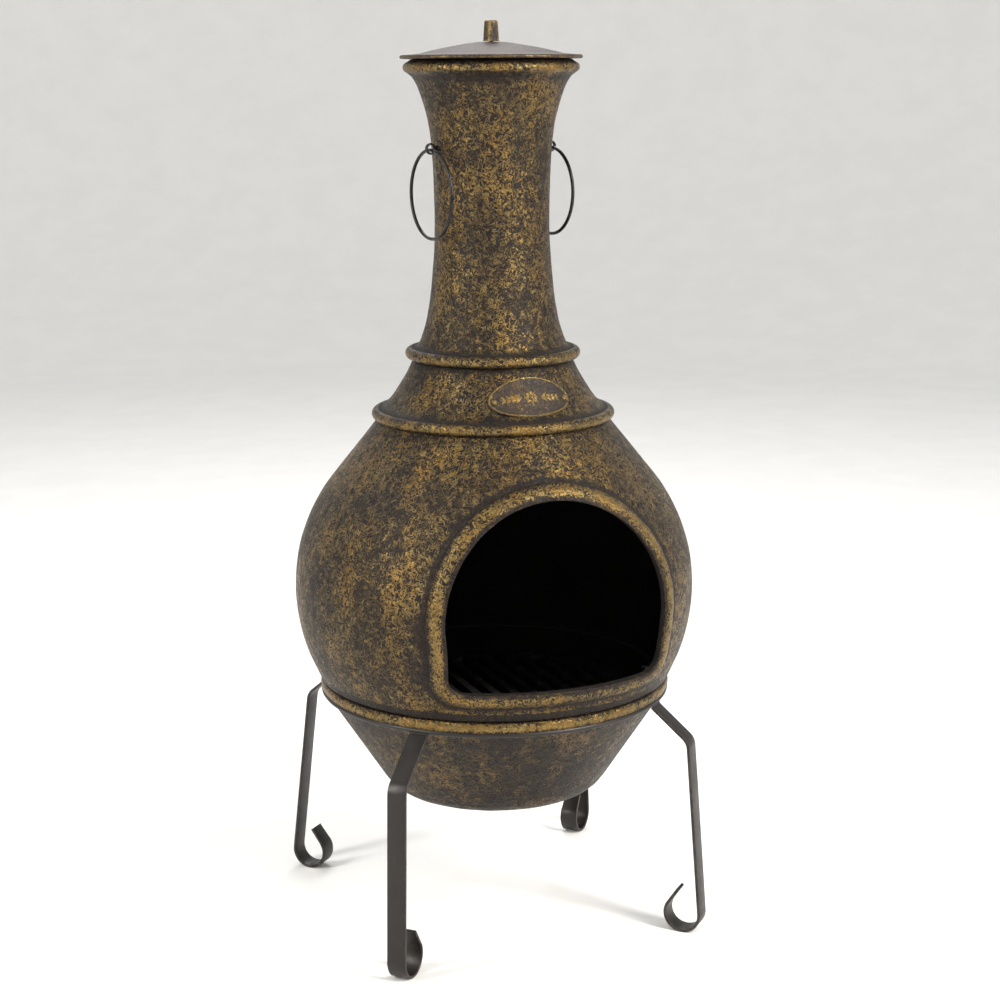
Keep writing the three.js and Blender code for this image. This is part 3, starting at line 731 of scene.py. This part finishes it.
def collar(material):
    points = outline("shoulder_collar", 0)
    low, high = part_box("shoulder_collar")
    bar = 7.2 * MM
    bead = (high.x - bar * 0.995, low.z + bar)
    cone = [p for p in points if p[1] > bead[1] + bar + 3 * MM and p[1] < high.z - 1 * MM]
    curve = spaced(smooth(cone, 8), 0.5 * ROW_GAP)
    inner = [(r, z) for r, z in widened(curve, -WALL - 1 * MM) if z < high.z - WALL]
    section = [
        (WAIST_THROAT, low.z),
        *arc(*bead, bar, -90, 108, 22),
        *curve,
        (cone[-1][0] - 1.2 * MM, high.z - 0.6 * MM),
        (cone[-1][0] - 2 * MM, high.z),
        (NECK_THROAT, high.z),
        (NECK_THROAT, high.z - WALL),
        (inner[-1][0], high.z - WALL),
        *reversed(inner[::3]),
        (bead[0] - bar, low.z + 11 * MM),
        (bead[0] - bar, low.z + WALL),
        (WAIST_THROAT, low.z + WALL),
    ]
    obj = turned("collar_casting", section, 400)
    uneven(obj, 0.7 * MM, 0.022, np.where(places(obj)[:, 2] > bead[1] + bar, 1.0, 0.35))
    co = places(obj)
    paint(obj, "soot", soot_inside(co, points))
    on_bead = crest(co, high.x, low.z + 0.9 * bar, 6.5 * MM)
    # Painted shade: less bronze in the groove above the bead, and a painted shadow under the neck's bead at the
    # top.
    groove_shade = crest(co, cone[0][0] + 2 * MM, bead[1] + bar + 1 * MM, 5 * MM)
    under_neck_shadow = crest(co, cone[-1][0], high.z, 9 * MM)
    paint(obj, "rub_and_painted_shade", 0.62 * on_bead - 0.7 * groove_shade - 0.5 * under_neck_shadow)
    finish_piece(obj, "body", "bronzed_iron", material, "shoulder_collar")


def neck(material):
    points = outline("chimney_neck", 180)
    low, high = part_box("chimney_neck")
    bar = 7.4 * MM
    bead = (high.x - bar * 0.985, low.z + bar)
    lip_bar = 6.6 * MM
    lip = (107.5 * MM, high.z - 10.5 * MM)
    flue = [p for p in points if bead[1] + bar + 2 * MM < p[1] < lip[1] - lip_bar - 3 * MM]
    curve = spaced(smooth(flue, 8), ROW_GAP)
    inner = widened(curve, -WALL)[::3]
    section = [
        (NECK_THROAT, low.z),
        *arc(*bead, bar, -90, 112, 22),
        *curve,
        *arc(*lip, lip_bar, -66, 52, 16),
        (lip[0] - 1.2 * MM, high.z - 2.2 * MM),
        (lip[0] - 3.4 * MM, high.z - 0.4 * MM),
        (lip[0] - 5.5 * MM, high.z),
        (97 * MM, high.z),
        (96.6 * MM, high.z - 3 * MM),
        *reversed(inner[1:]),
        (bead[0] - bar - 6 * MM, low.z + 14 * MM),
        (bead[0] - bar - 6 * MM, low.z + WALL),
        (NECK_THROAT, low.z + WALL),
    ]
    obj = turned("neck_casting", section, 360)
    heights = places(obj)[:, 2]
    on_flue = (low.z + 2.2 * bar < heights) & (heights < lip[1] - 2 * lip_bar)
    uneven(obj, 0.7 * MM, 0.026, np.where(on_flue, 1.0, 0.3))
    co = places(obj)
    paint(obj, "soot", soot_inside(co, points))
    on_bead = crest(co, high.x, low.z + 0.9 * bar, 6.5 * MM)
    on_lip = crest(co, lip[0] + lip_bar, lip[1], 7 * MM)
    # Painted shade under the lip's bead. The bevel that the lid rests on gets the lid's painted shadow, and no
    # bronze because it is recessed.
    under_lip_shade = crest(co, lip[0] - 4 * MM, lip[1] - 13 * MM, 7 * MM)
    lid_shadow = crest(co, lip[0] - 3 * MM, high.z, 6 * MM)
    paint(obj, "rub_and_painted_shade", 0.62 * on_bead + 0.5 * on_lip - 0.5 * under_lip_shade - 0.9 * lid_shadow)
    finish_piece(obj, "body", "bronzed_iron", material, "chimney_neck")


# Lid


def lid(material):
    low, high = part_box("rain_lid")
    brim = high.x
    under = low.z + 11.5 * MM
    dome = [
        (brim - 4 * MM, under + 5 * MM),
        (103 * MM, under + 5.9 * MM),
        (92 * MM, under + 7.3 * MM),
        (80 * MM, under + 10.2 * MM),
        (62 * MM, under + 14.0 * MM),
        (40 * MM, under + 17.9 * MM),
        (22 * MM, under + 20.6 * MM),
        (13 * MM, high.z - 0.2 * MM),
        (0.2 * MM, high.z),
    ]
    below = [
        (2 * MM, high.z - WALL),
        (14 * MM, high.z - WALL),
        (40 * MM, under + 12.5 * MM),
        (66 * MM, under + 7.8 * MM),
        (84 * MM, under + 3.6 * MM),
        (91 * MM, under),
    ]
    section = [
        *arc(brim - 2.5 * MM, under + 2.5 * MM, 2.5 * MM, -90, 80, 10),
        *smooth(dome, 8),
        *smooth(below, 4),
        (91 * MM, low.z + 0.5 * MM),
        (91.5 * MM, low.z),
        (94.5 * MM, low.z),
        (95 * MM, low.z + 0.5 * MM),
        (95 * MM, under),
    ]
    obj = turned("lid_casting", section, 320)
    uneven(obj, 0.5 * MM, 0.03, places(obj)[:, 2] > under + 3 * MM)
    co = places(obj)
    inside = (np.hypot(co[:, 0], co[:, 1]) < 92 * MM) & (co[:, 2] < under + 3 * MM)
    paint(obj, "rub_and_painted_shade", crest(co, brim, under + 1.8 * MM, 5 * MM))
    paint(obj, "soot", inside)
    finish_piece(obj, "lid", "brown_iron", material, "rain_lid")


def knob(material):
    """A square stub, a little tapered, with worn corners and uneven faces."""
    low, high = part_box("lid_knob")
    foot, head, turn, edge = 8.5 * MM, 7 * MM, rad(5), 1.5 * MM
    rows, sides = 26, 64
    vertices = []
    for i in range(rows):
        t = i / (rows - 1)
        half = foot + (head - foot) * t
        inset = edge * 0.8 * max(0.0, (t - 0.94) / 0.06) ** 2
        flare = 0.9 * MM * max(0.0, 1 - t / 0.08) ** 2
        half = min(half - inset + flare, foot + 0.6 * MM)
        for k in range(sides):
            a = 2 * math.pi * k / sides
            c, s = math.cos(a), math.sin(a)
            size = half / (abs(c) ** 9 + abs(s) ** 9) ** (1 / 9)
            x, y = size * c, size * s
            z = low.z + (high.z - low.z) * t
            turned_x = x * math.cos(turn) - y * math.sin(turn)
            turned_y = x * math.sin(turn) + y * math.cos(turn)
            vertices.append((turned_x, turned_y, z))
    obj = make("knob_casting", vertices, capped(rows, sides), 50)
    uneven(obj, 0.5 * MM, 0.007)
    co = places(obj)
    flat_x = abs(co[:, 0] * math.cos(turn) + co[:, 1] * math.sin(turn))
    flat_y = abs(co[:, 1] * math.cos(turn) - co[:, 0] * math.sin(turn))
    t = (co[:, 2] - low.z) / (high.z - low.z)
    near = np.minimum(flat_x, flat_y) / (foot + (head - foot) * t)
    ends = np.maximum(0, 1 - t / 0.12) + np.maximum(0, (t - 0.85) / 0.15)
    paint(obj, "rub_and_painted_shade", 1.3 * np.maximum(0, near - 0.45) / 0.55 + 0.8 * ends - 0.12)
    paint(obj, "soot", 0.0)
    finish_piece(obj, "lid", "rubbed_bronze", material, "lid_knob")


# Plate


def leaf(u, v, at_u, at_v, angle, length, width):
    """The height of one leaf, 0 to 1, with a notch along its rib."""
    c, s = math.cos(angle), math.sin(angle)
    x = ((u - at_u) * c + (v - at_v) * s) / length
    y = (-(u - at_u) * s + (v - at_v) * c) / (width * np.clip(1.15 - 0.55 * x, 0.4, 1.7))
    dome = np.sqrt(np.clip(1 - x * x - y * y, 0, 1))
    return dome * (1 - 0.45 * np.exp(-((y / 0.16) ** 2)))


def sprig(u, v):
    """A flower between two leafy branches that grow out along the plate."""
    height = np.zeros_like(u)
    for petal in range(8):
        angle = rad(45 * petal)
        at_u, at_v = 6.6 * MM * math.cos(angle), 6.6 * MM * math.sin(angle)
        height = np.maximum(height, leaf(u, v, at_u, at_v, angle, 4.2 * MM, 2.3 * MM))
    eye = 1 - np.hypot(u, v) / (2.4 * MM)
    height = np.maximum(height, np.sqrt(np.clip(eye, 0, 1)))
    for side in (-1, 1):
        for pair in range(4):
            stem = side * (15.5 + 6.3 * pair) * MM
            for lean in (-0.75, 0.75):
                angle = lean if side > 0 else math.pi - lean
                at_u = stem + 4 * MM * math.cos(angle)
                at_v = 4 * MM * math.sin(angle)
                size = (1 - 0.1 * pair) * MM
                height = np.maximum(height, leaf(u, v, at_u, at_v, angle, 5.2 * size, 2.2 * size))
        along = (side * u > 12 * MM) & (side * u < 40 * MM)
        height = np.maximum(height, along * np.clip(1 - abs(v) / (0.9 * MM), 0, 1) ** 0.5)
    return height


def cone_tilt(cone):
    """How far the collar's wall leans in behind the plate, in radians."""
    span = 0.01
    drop = radius_at(cone, PLATE["centre"] - span) - radius_at(cone, PLATE["centre"] + span)
    return math.atan(drop / (2 * span))


def plate(material, cone):
    """The oval plate, bent round the collar, with a raised border and leaves."""
    tilt = cone_tilt(cone)
    turn = Matrix.Rotation(rad(PLATE["azimuth"]), 3, "Z")
    across = np.array(turn @ Vector((1, 0, 0)))
    upward = np.array(turn @ Vector((0, math.sin(tilt), math.cos(tilt))))
    outward = np.array(turn @ Vector((0, -math.cos(tilt), math.sin(tilt))))
    centre = np.array(polar(radius_at(cone, PLATE["centre"]), PLATE["azimuth"], PLATE["centre"]))

    def on_cone(u, v, height):
        """Points square above (u, v) on the plate's plane, a height above the collar."""
        flat = centre + u[:, None] * across + v[:, None] * upward
        rise = np.zeros(len(u))
        for _ in range(12):
            at = flat + rise[:, None] * outward
            short = radius_at(cone, at[:, 2]) - np.hypot(at[:, 0], at[:, 1])
            rise += short * 0.8
        return flat + (rise + height)[:, None] * outward

    a, b = PLATE["half_width"], PLATE["half_height"]
    spokes, rings = 300, 84
    angle = np.arange(spokes) * 2 * math.pi / spokes
    rows, rubs = [], []
    for i in range(rings + 1):
        share = (i / rings) ** 0.8
        u, v = share * a * np.cos(angle), share * b * np.sin(angle)
        slope = np.sqrt((u / a**2) ** 2 + (v / b**2) ** 2) + 1e-9
        inwards = (1 - share**2) / (2 * slope)
        from_ridge = inwards - PLATE["border_width"] * 0.5
        border = np.exp(-((from_ridge / (PLATE["border_width"] * 0.42)) ** 4))
        relief = sprig(u, v)
        worn_edge = np.clip(1 - inwards / (0.7 * MM), 0, 1)
        height = PLATE["field"] + (PLATE["border"] - PLATE["field"]) * border + 1.0 * MM * relief
        height -= 0.9 * MM * worn_edge**2
        rows.append(on_cone(u, v, height))
        rubs.append(np.clip(1.05 * border + 1.5 * relief - 0.3, -1, 1.2))
    u, v = a * np.cos(angle), b * np.sin(angle)
    for share in (1, 0.5, 0):
        rows.append(on_cone(u * share, v * share, np.full(spokes, PLATE_BACK)))
    rubs += [np.full(spokes, -1.0)] * 3
    vertices = np.concatenate(rows)
    faces = grid_faces(len(rows), spokes, False, True)[:, ::-1]
    obj = make("oval_plate", vertices, faces, 60)
    tree = KDTree(len(vertices))
    for i, vertex in enumerate(vertices):
        tree.insert(vertex, i)
    tree.balance()
    value = np.concatenate(rubs)
    paint(obj, "rub_and_painted_shade", [value[tree.find(place)[1]] for place in places(obj)])
    paint(obj, "soot", 0.0)
    finish_piece(obj, "body", "rubbed_bronze", material, "name_plate")


def rivets(material, cone):
    """The plate's two round-headed rivets, each with a hollow in its head."""
    tilt = cone_tilt(cone)
    for name, side in (("left", -1), ("right", 1)):
        azimuth = PLATE["azimuth"] + side * RIVET_AZIMUTH
        section = [
            (0, 2.0 * MM),
            (0.8 * MM, 2.05 * MM),
            (1.6 * MM, 2.3 * MM),
            (2.6 * MM, 2.15 * MM),
            (3.5 * MM, 1.5 * MM),
            (4.1 * MM, 0.6 * MM),
            (4.2 * MM, 0),
            (1.8 * MM, 0),
            (1.8 * MM, -6.5 * MM),
            (0, -6.5 * MM),
        ][::-1]
        head = turned(f"rivet_{name}", section, 40)
        radius = radius_at(cone, RIVET_HEIGHT) + PLATE["field"] + RIVET_PROUD
        place = Matrix.Translation(polar(radius, azimuth, RIVET_HEIGHT))
        spin = Matrix.Rotation(rad(azimuth - 90), 4, "Z")
        lean = Matrix.Rotation(math.pi / 2 - tilt, 4, "Y")
        head.data.transform(place @ spin @ lean)
        paint(head, "rub_and_painted_shade", 0.7)
        paint(head, "soot", 0.0)
        finish_piece(head, "body", "rubbed_bronze", material, f"plate_rivet_{name}")


# Rings, eyes and stand


def ring_pivot(name):
    """The point and the direction of a ring handle's swing."""
    joint = next(j for j in frame["joints"] if j["name"] == f"ring_{name}_swing")
    return Vector(joint["pos_m"]), Vector(joint["axis"]).normalized()


def ring_handle(name, material):
    pivot, tangent = ring_pivot(name)
    centre = pivot - Vector((0, 0, RING_RADIUS))
    steps = 128
    path = []
    for i in range(steps):
        a = 2 * math.pi * i / steps
        path.append(centre + RING_RADIUS * (tangent * math.sin(a) + Vector((0, 0, math.cos(a)))))
    obj = swept(f"ring_{name}", path, RING_WIRE, 16, closed=True)
    paint(obj, "rub_and_painted_shade", 0.0)
    finish_piece(obj, f"ring_{name}", "black_wire", material, f"ring_handle_{name}")


def eye_bolt(name, material):
    """An eye of two turns of wire, wrapped round its shank."""
    pivot, tangent = ring_pivot(name)
    outward = Vector((pivot.x, pivot.y, 0)).normalized()
    upward = Vector((0, 0, 1))
    centre = pivot + Vector((0, 0, 1.45 * MM))
    turns, steps, half_gap = 2, 56, 1.75
    eye = []
    for i in range(steps + 1):
        share = i / steps
        a = math.pi + 2 * math.pi * turns * share
        shift = (share - 0.5) * 2 * half_gap * MM
        reach = EYE_LOOP + (0.6 * MM if share in (0, 1) else 0)
        eye.append(centre + tangent * shift + reach * (outward * math.cos(a) + upward * math.sin(a)))
    inner_end = centre - outward * 25 * MM
    throat = centre - outward * (EYE_LOOP + 4.5 * MM)
    ends = tangent * 1.4 * MM
    loops = swept("loops", [throat - ends, *eye, throat + ends], EYE_WIRE, 12)
    shank_line = [inner_end, throat - outward * 1 * MM, throat + outward * 1.2 * MM]
    shank = swept("shank", shank_line, 2.4 * MM, 16)
    coil = []
    coil_turns, coil_steps = 2.6, 60
    for i in range(coil_steps + 1):
        a = 2 * math.pi * coil_turns * i / coil_steps
        spin = upward * math.cos(a) + tangent * math.sin(a)
        coil.append(throat + outward * (1.8 - 6.2 * i / coil_steps) * MM + spin * 3.1 * MM)
    wrap = swept("wrap", coil, 1.25 * MM, 10)
    obj = joined(f"eye_{name}", [loops, shank, wrap])
    shade(obj, 60)
    finish_piece(obj, "body", "black_wire", material, f"eye_bolt_{name}")


def strap_line(splay, scroll_radius, scroll_centre):
    """The strap's middle line as (radius, height) points, from the ring to its curled tip."""
    ring_low, ring_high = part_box("stand_ring")
    ring_radius = ring_high.x - (ring_high.z - ring_low.z) / 2
    ring_height = (ring_low.z + ring_high.z) / 2
    start = (ring_radius + 0.5 * MM, ring_height - 4.6 * MM)
    lift = scroll_radius + STRAP["thickness"] / 2
    sweep = (90 + splay) * (SCROLL_STEPS / STEPS_TO_FLAT)
    scroll = arc(scroll_centre, lift, scroll_radius, splay, splay - sweep, 72)
    end_angle = rad(splay - sweep - 90)
    r, z = scroll[-1]
    tip = []
    for share in (0.33, 0.66, 1):
        reach = STRAP["tip"] * share
        tip.append((r + reach * math.cos(end_angle), z + reach * math.sin(end_angle)))
    out, down = math.cos(rad(STRAP["slant"])), math.sin(rad(STRAP["slant"]))
    lean = math.tan(rad(splay))
    ankle = scroll[0]
    run = (ankle[0] - start[0] - lean * (start[1] - ankle[1])) / (out - lean * down)
    to_knee = run - STRAP["knee"] * math.tan(rad((90 - splay - STRAP["slant"]) / 2))
    knee_r = start[0] + to_knee * out - STRAP["knee"] * down
    knee_z = start[1] - to_knee * down - STRAP["knee"] * out
    knee = arc(knee_r, knee_z, STRAP["knee"], 90 - STRAP["slant"], splay, 14)
    return [*straight(start, knee[0], 8), *knee[:-1], *straight(knee[-1], ankle, 30), *scroll, *tip]


def strap_section():
    """A rounded rectangle round the strap's middle line, as (out, across) offsets."""
    half_t, half_w, corner = STRAP["thickness"] / 2, STRAP["width"] / 2, STRAP["corner"]
    points = []
    for out_sign, across_sign, start in ((1, 1, 0), (-1, 1, 90), (-1, -1, 180), (1, -1, 270)):
        for i in range(4):
            a = rad(start + 30 * i)
            out = out_sign * (half_t - corner) + corner * math.cos(a)
            points.append((out, across_sign * (half_w - corner) + corner * math.sin(a)))
    return points


def leg(name, mount, material):
    """One strap leg, which stands on its mount's point, and its weld."""
    foot = Vector(mount["pos_m"])
    azimuth = math.degrees(math.atan2(foot.x, -foot.y))
    splay = LEG_SPLAY[name]
    step = (90 + splay) / STEPS_TO_FLAT
    lift = (STRAP["scroll"] + STRAP["thickness"] / 2) * math.cos(rad(step / 2))
    line = strap_line(splay, lift - STRAP["thickness"] / 2, foot.length)
    away = polar(1, azimuth)
    across = polar(1, azimuth + 90)
    section = strap_section()
    vertices, edges = [], []
    half_w = STRAP["width"] / 2
    for i, (r, z) in enumerate(line):
        ahead = Vector(line[min(i + 1, len(line) - 1)]) - Vector(line[max(i - 1, 0)])
        ahead.normalize()
        normal = Vector((-ahead.y, ahead.x))
        taper = 1 - 0.12 * max(0.0, (i - len(line) + 6) / 6)
        for out, side in section:
            rz = Vector((r, z)) + normal * out
            vertices.append(away * rz.x + Vector((0, 0, rz.y)) + across * side * taper)
            edges.append(max(0.0, (abs(side) - half_w + 1.6 * MM) / (1.6 * MM)))
    obj = make(f"strap_{name}", vertices, capped(len(line), len(section)), 50)
    paint(obj, "rub_and_painted_shade", edges)
    finish_piece(obj, "body", "stand_paint", material, f"leg_{name}")
    weld(name, azimuth, line[0], material)


def weld(name, azimuth, joint, material):
    """A rippled bead of weld where a strap meets the ring."""
    away = polar(1, azimuth)
    across = polar(1, azimuth + 90)
    rows, sides = 49, 16
    vertices = []
    for i in range(rows):
        t = 2 * i / (rows - 1) - 1
        body = math.sqrt(max(1 - abs(t) ** 3, 0.0))
        ripple = 1 + 0.13 * math.cos(i * 1.35) + 0.08 * noise.noise((i * 0.21, azimuth, 0))
        for k in range(sides):
            a = 2 * math.pi * k / sides
            out = joint[0] + (0.6 + 3.3 * body * ripple * math.cos(a)) * MM
            up = joint[1] + (1.3 + 2.5 * body * ripple * math.sin(a)) * MM
            vertices.append(away * out + Vector((0, 0, up)) + across * 14.2 * MM * t)
    obj = make(f"weld_{name}", vertices, grid_faces(rows, sides, False, True), 60)
    paint(obj, "rub_and_painted_shade", 0.25)
    finish_piece(obj, "body", "stand_paint", material)


def stand(material):
    low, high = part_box("stand_ring")
    bar = (high.z - low.z) / 2
    centre = (low.z + high.z) / 2
    radius = high.x - bar
    path = [polar(radius, 360 * i / 260, centre) for i in range(260)]
    obj = swept("ring_bar", path, bar, 20, closed=True)
    paint(obj, "rub_and_painted_shade", 0.0)
    finish_piece(obj, "body", "stand_paint", material, "stand_ring")
    for mount in frame["record"]["mounts"]:
        leg(mount["name"].removeprefix("foot_"), mount, material)


# Bolts, nuts and grate


def hexed(name, rows, facets=48):
    """A turned shape whose radius is held inside a hexagon: rows of (height, flat, round)."""
    vertices = []
    for height, flat, round_ in rows:
        for k in range(facets):
            a = 360 * k / facets
            fold = (a + 30) % 60 - 30
            radius = min(flat / math.cos(rad(fold)), round_)
            vertices.append((radius * math.cos(rad(a)), radius * math.sin(rad(a)), height))
    closed = rows[0][2] > 1e-9
    return make(name, vertices, grid_faces(len(rows), facets, closed, True), 30)


def thread(start, end, radius, pitch=1.0 * MM):
    """Rows of a threaded shank, from start to end along Z."""
    count = max(int(abs(end - start) / pitch * 2), 2)
    heights = np.linspace(start, end, count)
    return [(z, 1.0, radius - (0.32 * MM if i % 2 else 0.0)) for i, z in enumerate(heights)]


def bolt(node, material, body="body", head_up=True):
    """A hexagon-headed M6 bolt along Z, with a chamfered head and a thread."""
    low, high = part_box(node)
    length = high.z - low.z
    rows = [
        (-length, 1.0, 0.0),
        (-length, 1.0, 2.3 * MM),
        *thread(-length + 0.7 * MM, -4.2 * MM, 3 * MM),
        (-4 * MM, 1.0, 3 * MM),
        (-4 * MM, 5 * MM, 5.2 * MM),
        (-3.6 * MM, 5 * MM, 6 * MM),
        (-0.6 * MM, 5 * MM, 6 * MM),
        (0, 5 * MM, 4.9 * MM),
        (0, 1.0, 0.0),
    ]
    obj = hexed(node + "_fine", rows)
    place = Matrix.Translation(((low.x + high.x) / 2, (low.y + high.y) / 2, high.z if head_up else low.z))
    if not head_up:
        place = place @ Matrix.Rotation(math.pi, 4, "X")
    obj.data.transform(place)
    finish_piece(obj, body, "bolt_steel", material, node)


def nut(node, material, across, thickness, hole, axis=(0, 0, 1)):
    """A nut or washer, chamfered on both faces, square to an axis."""
    low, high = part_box(node)
    half = thickness / 2
    corner = across / 2 / math.cos(rad(30))
    rows = [
        (-half, 1.0, hole),
        (-half, across / 2, across / 2 * 0.97),
        (-half + min(0.6 * MM, half / 2), across / 2, corner),
        (half - min(0.6 * MM, half / 2), across / 2, corner),
        (half, across / 2, across / 2 * 0.97),
        (half, 1.0, hole),
    ]
    obj = hexed(node + "_fine", rows)
    turn = Vector((0, 0, 1)).rotation_difference(Vector(axis)).to_matrix().to_4x4()
    obj.data.transform(Matrix.Translation((low + high) / 2) @ turn)
    finish_piece(obj, "body", "bolt_steel", material, node)


def fasteners(material):
    for seam in ("base", "waist", "neck"):
        for i in (1, 2, 3):
            bolt(f"{seam}_bolt_{i}", material)
            nut(f"{seam}_nut_{i}", material, 10 * MM, 5 * MM, 3.4 * MM)
    bolt("knob_bolt", material, body="lid", head_up=False)
    for name, side in (("left", -1), ("right", 1)):
        outward = polar(1, side * 90 + NECK_TURN)
        nut(f"eye_nut_{name}", material, 8 * MM, 4 * MM, 2.9 * MM, outward)
        nut(f"eye_washer_{name}", material, 13 * MM, 1 * MM, 2.9 * MM, outward)


def grate(material):
    """The grate's own shape with its cast edges rounded."""
    obj = bpy.data.objects.new("grate_casting", frame["nodes"]["fire_grate"].data.copy())
    bpy.context.scene.collection.objects.link(obj)
    work = bmesh.new()
    work.from_mesh(obj.data)
    bmesh.ops.remove_doubles(work, verts=work.verts, dist=1e-6)
    bmesh.ops.dissolve_limit(work, angle_limit=rad(1), verts=work.verts, edges=work.edges)
    work.to_mesh(obj.data)
    work.free()
    edge = obj.modifiers.new("edges", "BEVEL")
    edge.width = 1.2 * MM
    edge.segments = 2
    edge.limit_method = "ANGLE"
    edge.angle_limit = rad(50)
    shade(obj, 35)
    finish_piece(obj, "body", "sooty_iron", material, "fire_grate")


# Studio


def plain_floor():
    n = Nodes("pale_floor")
    grain = n.noise(6, 3, 0.6)
    colour = n.mix(n.step(grain, 0.3, 0.7), (0.80, 0.80, 0.795), (0.83, 0.828, 0.82))
    n.finish(Base_Color=colour, Roughness=0.85)
    flat, curl = 5.0, 3.0
    section = [(0, 0), (1, 0), *arc(flat, curl, curl, -90, 0, 24), (flat + curl, 7.0)]
    turns = np.linspace(0, 360, 97)[:-1]
    vertices = [polar(r, a, z) for r, z in section for a in turns]
    floor = make("floor", vertices, grid_faces(len(section), len(turns), False, True)[:, ::-1])
    floor.data.materials.append(n.material)


def softbox(name, azimuth, elevation, distance, width, height, power, colour=(1, 1, 1)):
    """A rectangular light that faces the middle of the chiminea."""
    target = Vector((0, 0, (cad_low.z + cad_high.z) / 2))
    light = bpy.data.lights.new(name, "AREA")
    light.shape = "RECTANGLE"
    light.size, light.size_y = width, height
    light.energy = power
    light.color = colour
    obj = bpy.data.objects.new(name, light)
    bpy.context.scene.collection.objects.link(obj)
    away = polar(distance * math.cos(rad(elevation)), azimuth, distance * math.sin(rad(elevation)))
    obj.location = target + away
    obj.rotation_euler = (-away).to_track_quat("-Z", "Y").to_euler()


def studio():
    plain_floor()
    world = bpy.data.worlds.new("studio")
    world.use_nodes = True
    world.node_tree.nodes["Background"].inputs["Color"].default_value = (1, 1, 1, 1)
    world.node_tree.nodes["Background"].inputs["Strength"].default_value = 0.7
    bpy.context.scene.world = world
    bpy.context.scene.view_settings.view_transform = "Standard"
    softbox("key", 34, 30, 3.2, 0.7, 2.4, 165, (1, 0.96, 0.9))
    softbox("side", -80, 24, 3.2, 0.6, 2.2, 85, (1, 0.96, 0.9))
    softbox("back", 165, 50, 3.6, 1.8, 1.8, 60)


def camera():
    data = bpy.data.cameras.new("camera")
    data.lens = 73.25
    data.sensor_width = 36
    obj = bpy.data.objects.new("camera", data)
    bpy.context.scene.collection.objects.link(obj)
    azimuth, distance, height = -20.65, 2.676, 1.129
    heading, pitch, roll = azimuth - 0.186, -11.866, -0.269
    place = Matrix.Translation(polar(distance, azimuth, height))
    place = place @ Matrix.Rotation(rad(heading), 4, "Z")
    place = place @ Matrix.Rotation(rad(90 + pitch), 4, "X")
    obj.matrix_world = place @ Matrix.Rotation(rad(roll), 4, "Z")
    bpy.context.scene.camera = obj


camera()
studio()

casting = bronzed_iron("bronzed_cast_iron", DARK_IRON, BRONZE)
trim = bronzed_iron("rubbed_bronze_trim", TRIM_IRON, BRONZE, rubbing=-0.02, relief=0.5, grain=420.0)
steel = bolt_steel()
paint_coat = stand_paint()
wire = black_wire()

stand(paint_coat)
bowl(casting)
belly(casting)
collar(casting)
neck(casting)
collar_cone = smooth([p for p in outline("shoulder_collar", 0) if p[1] > 0.7], 4)
plate(trim, collar_cone)
rivets(trim, collar_cone)
lid(lid_iron())
knob(trim)
for name in ("left", "right"):
    ring_handle(name, wire)
    eye_bolt(name, wire)
fasteners(steel)
grate(sooty_iron())
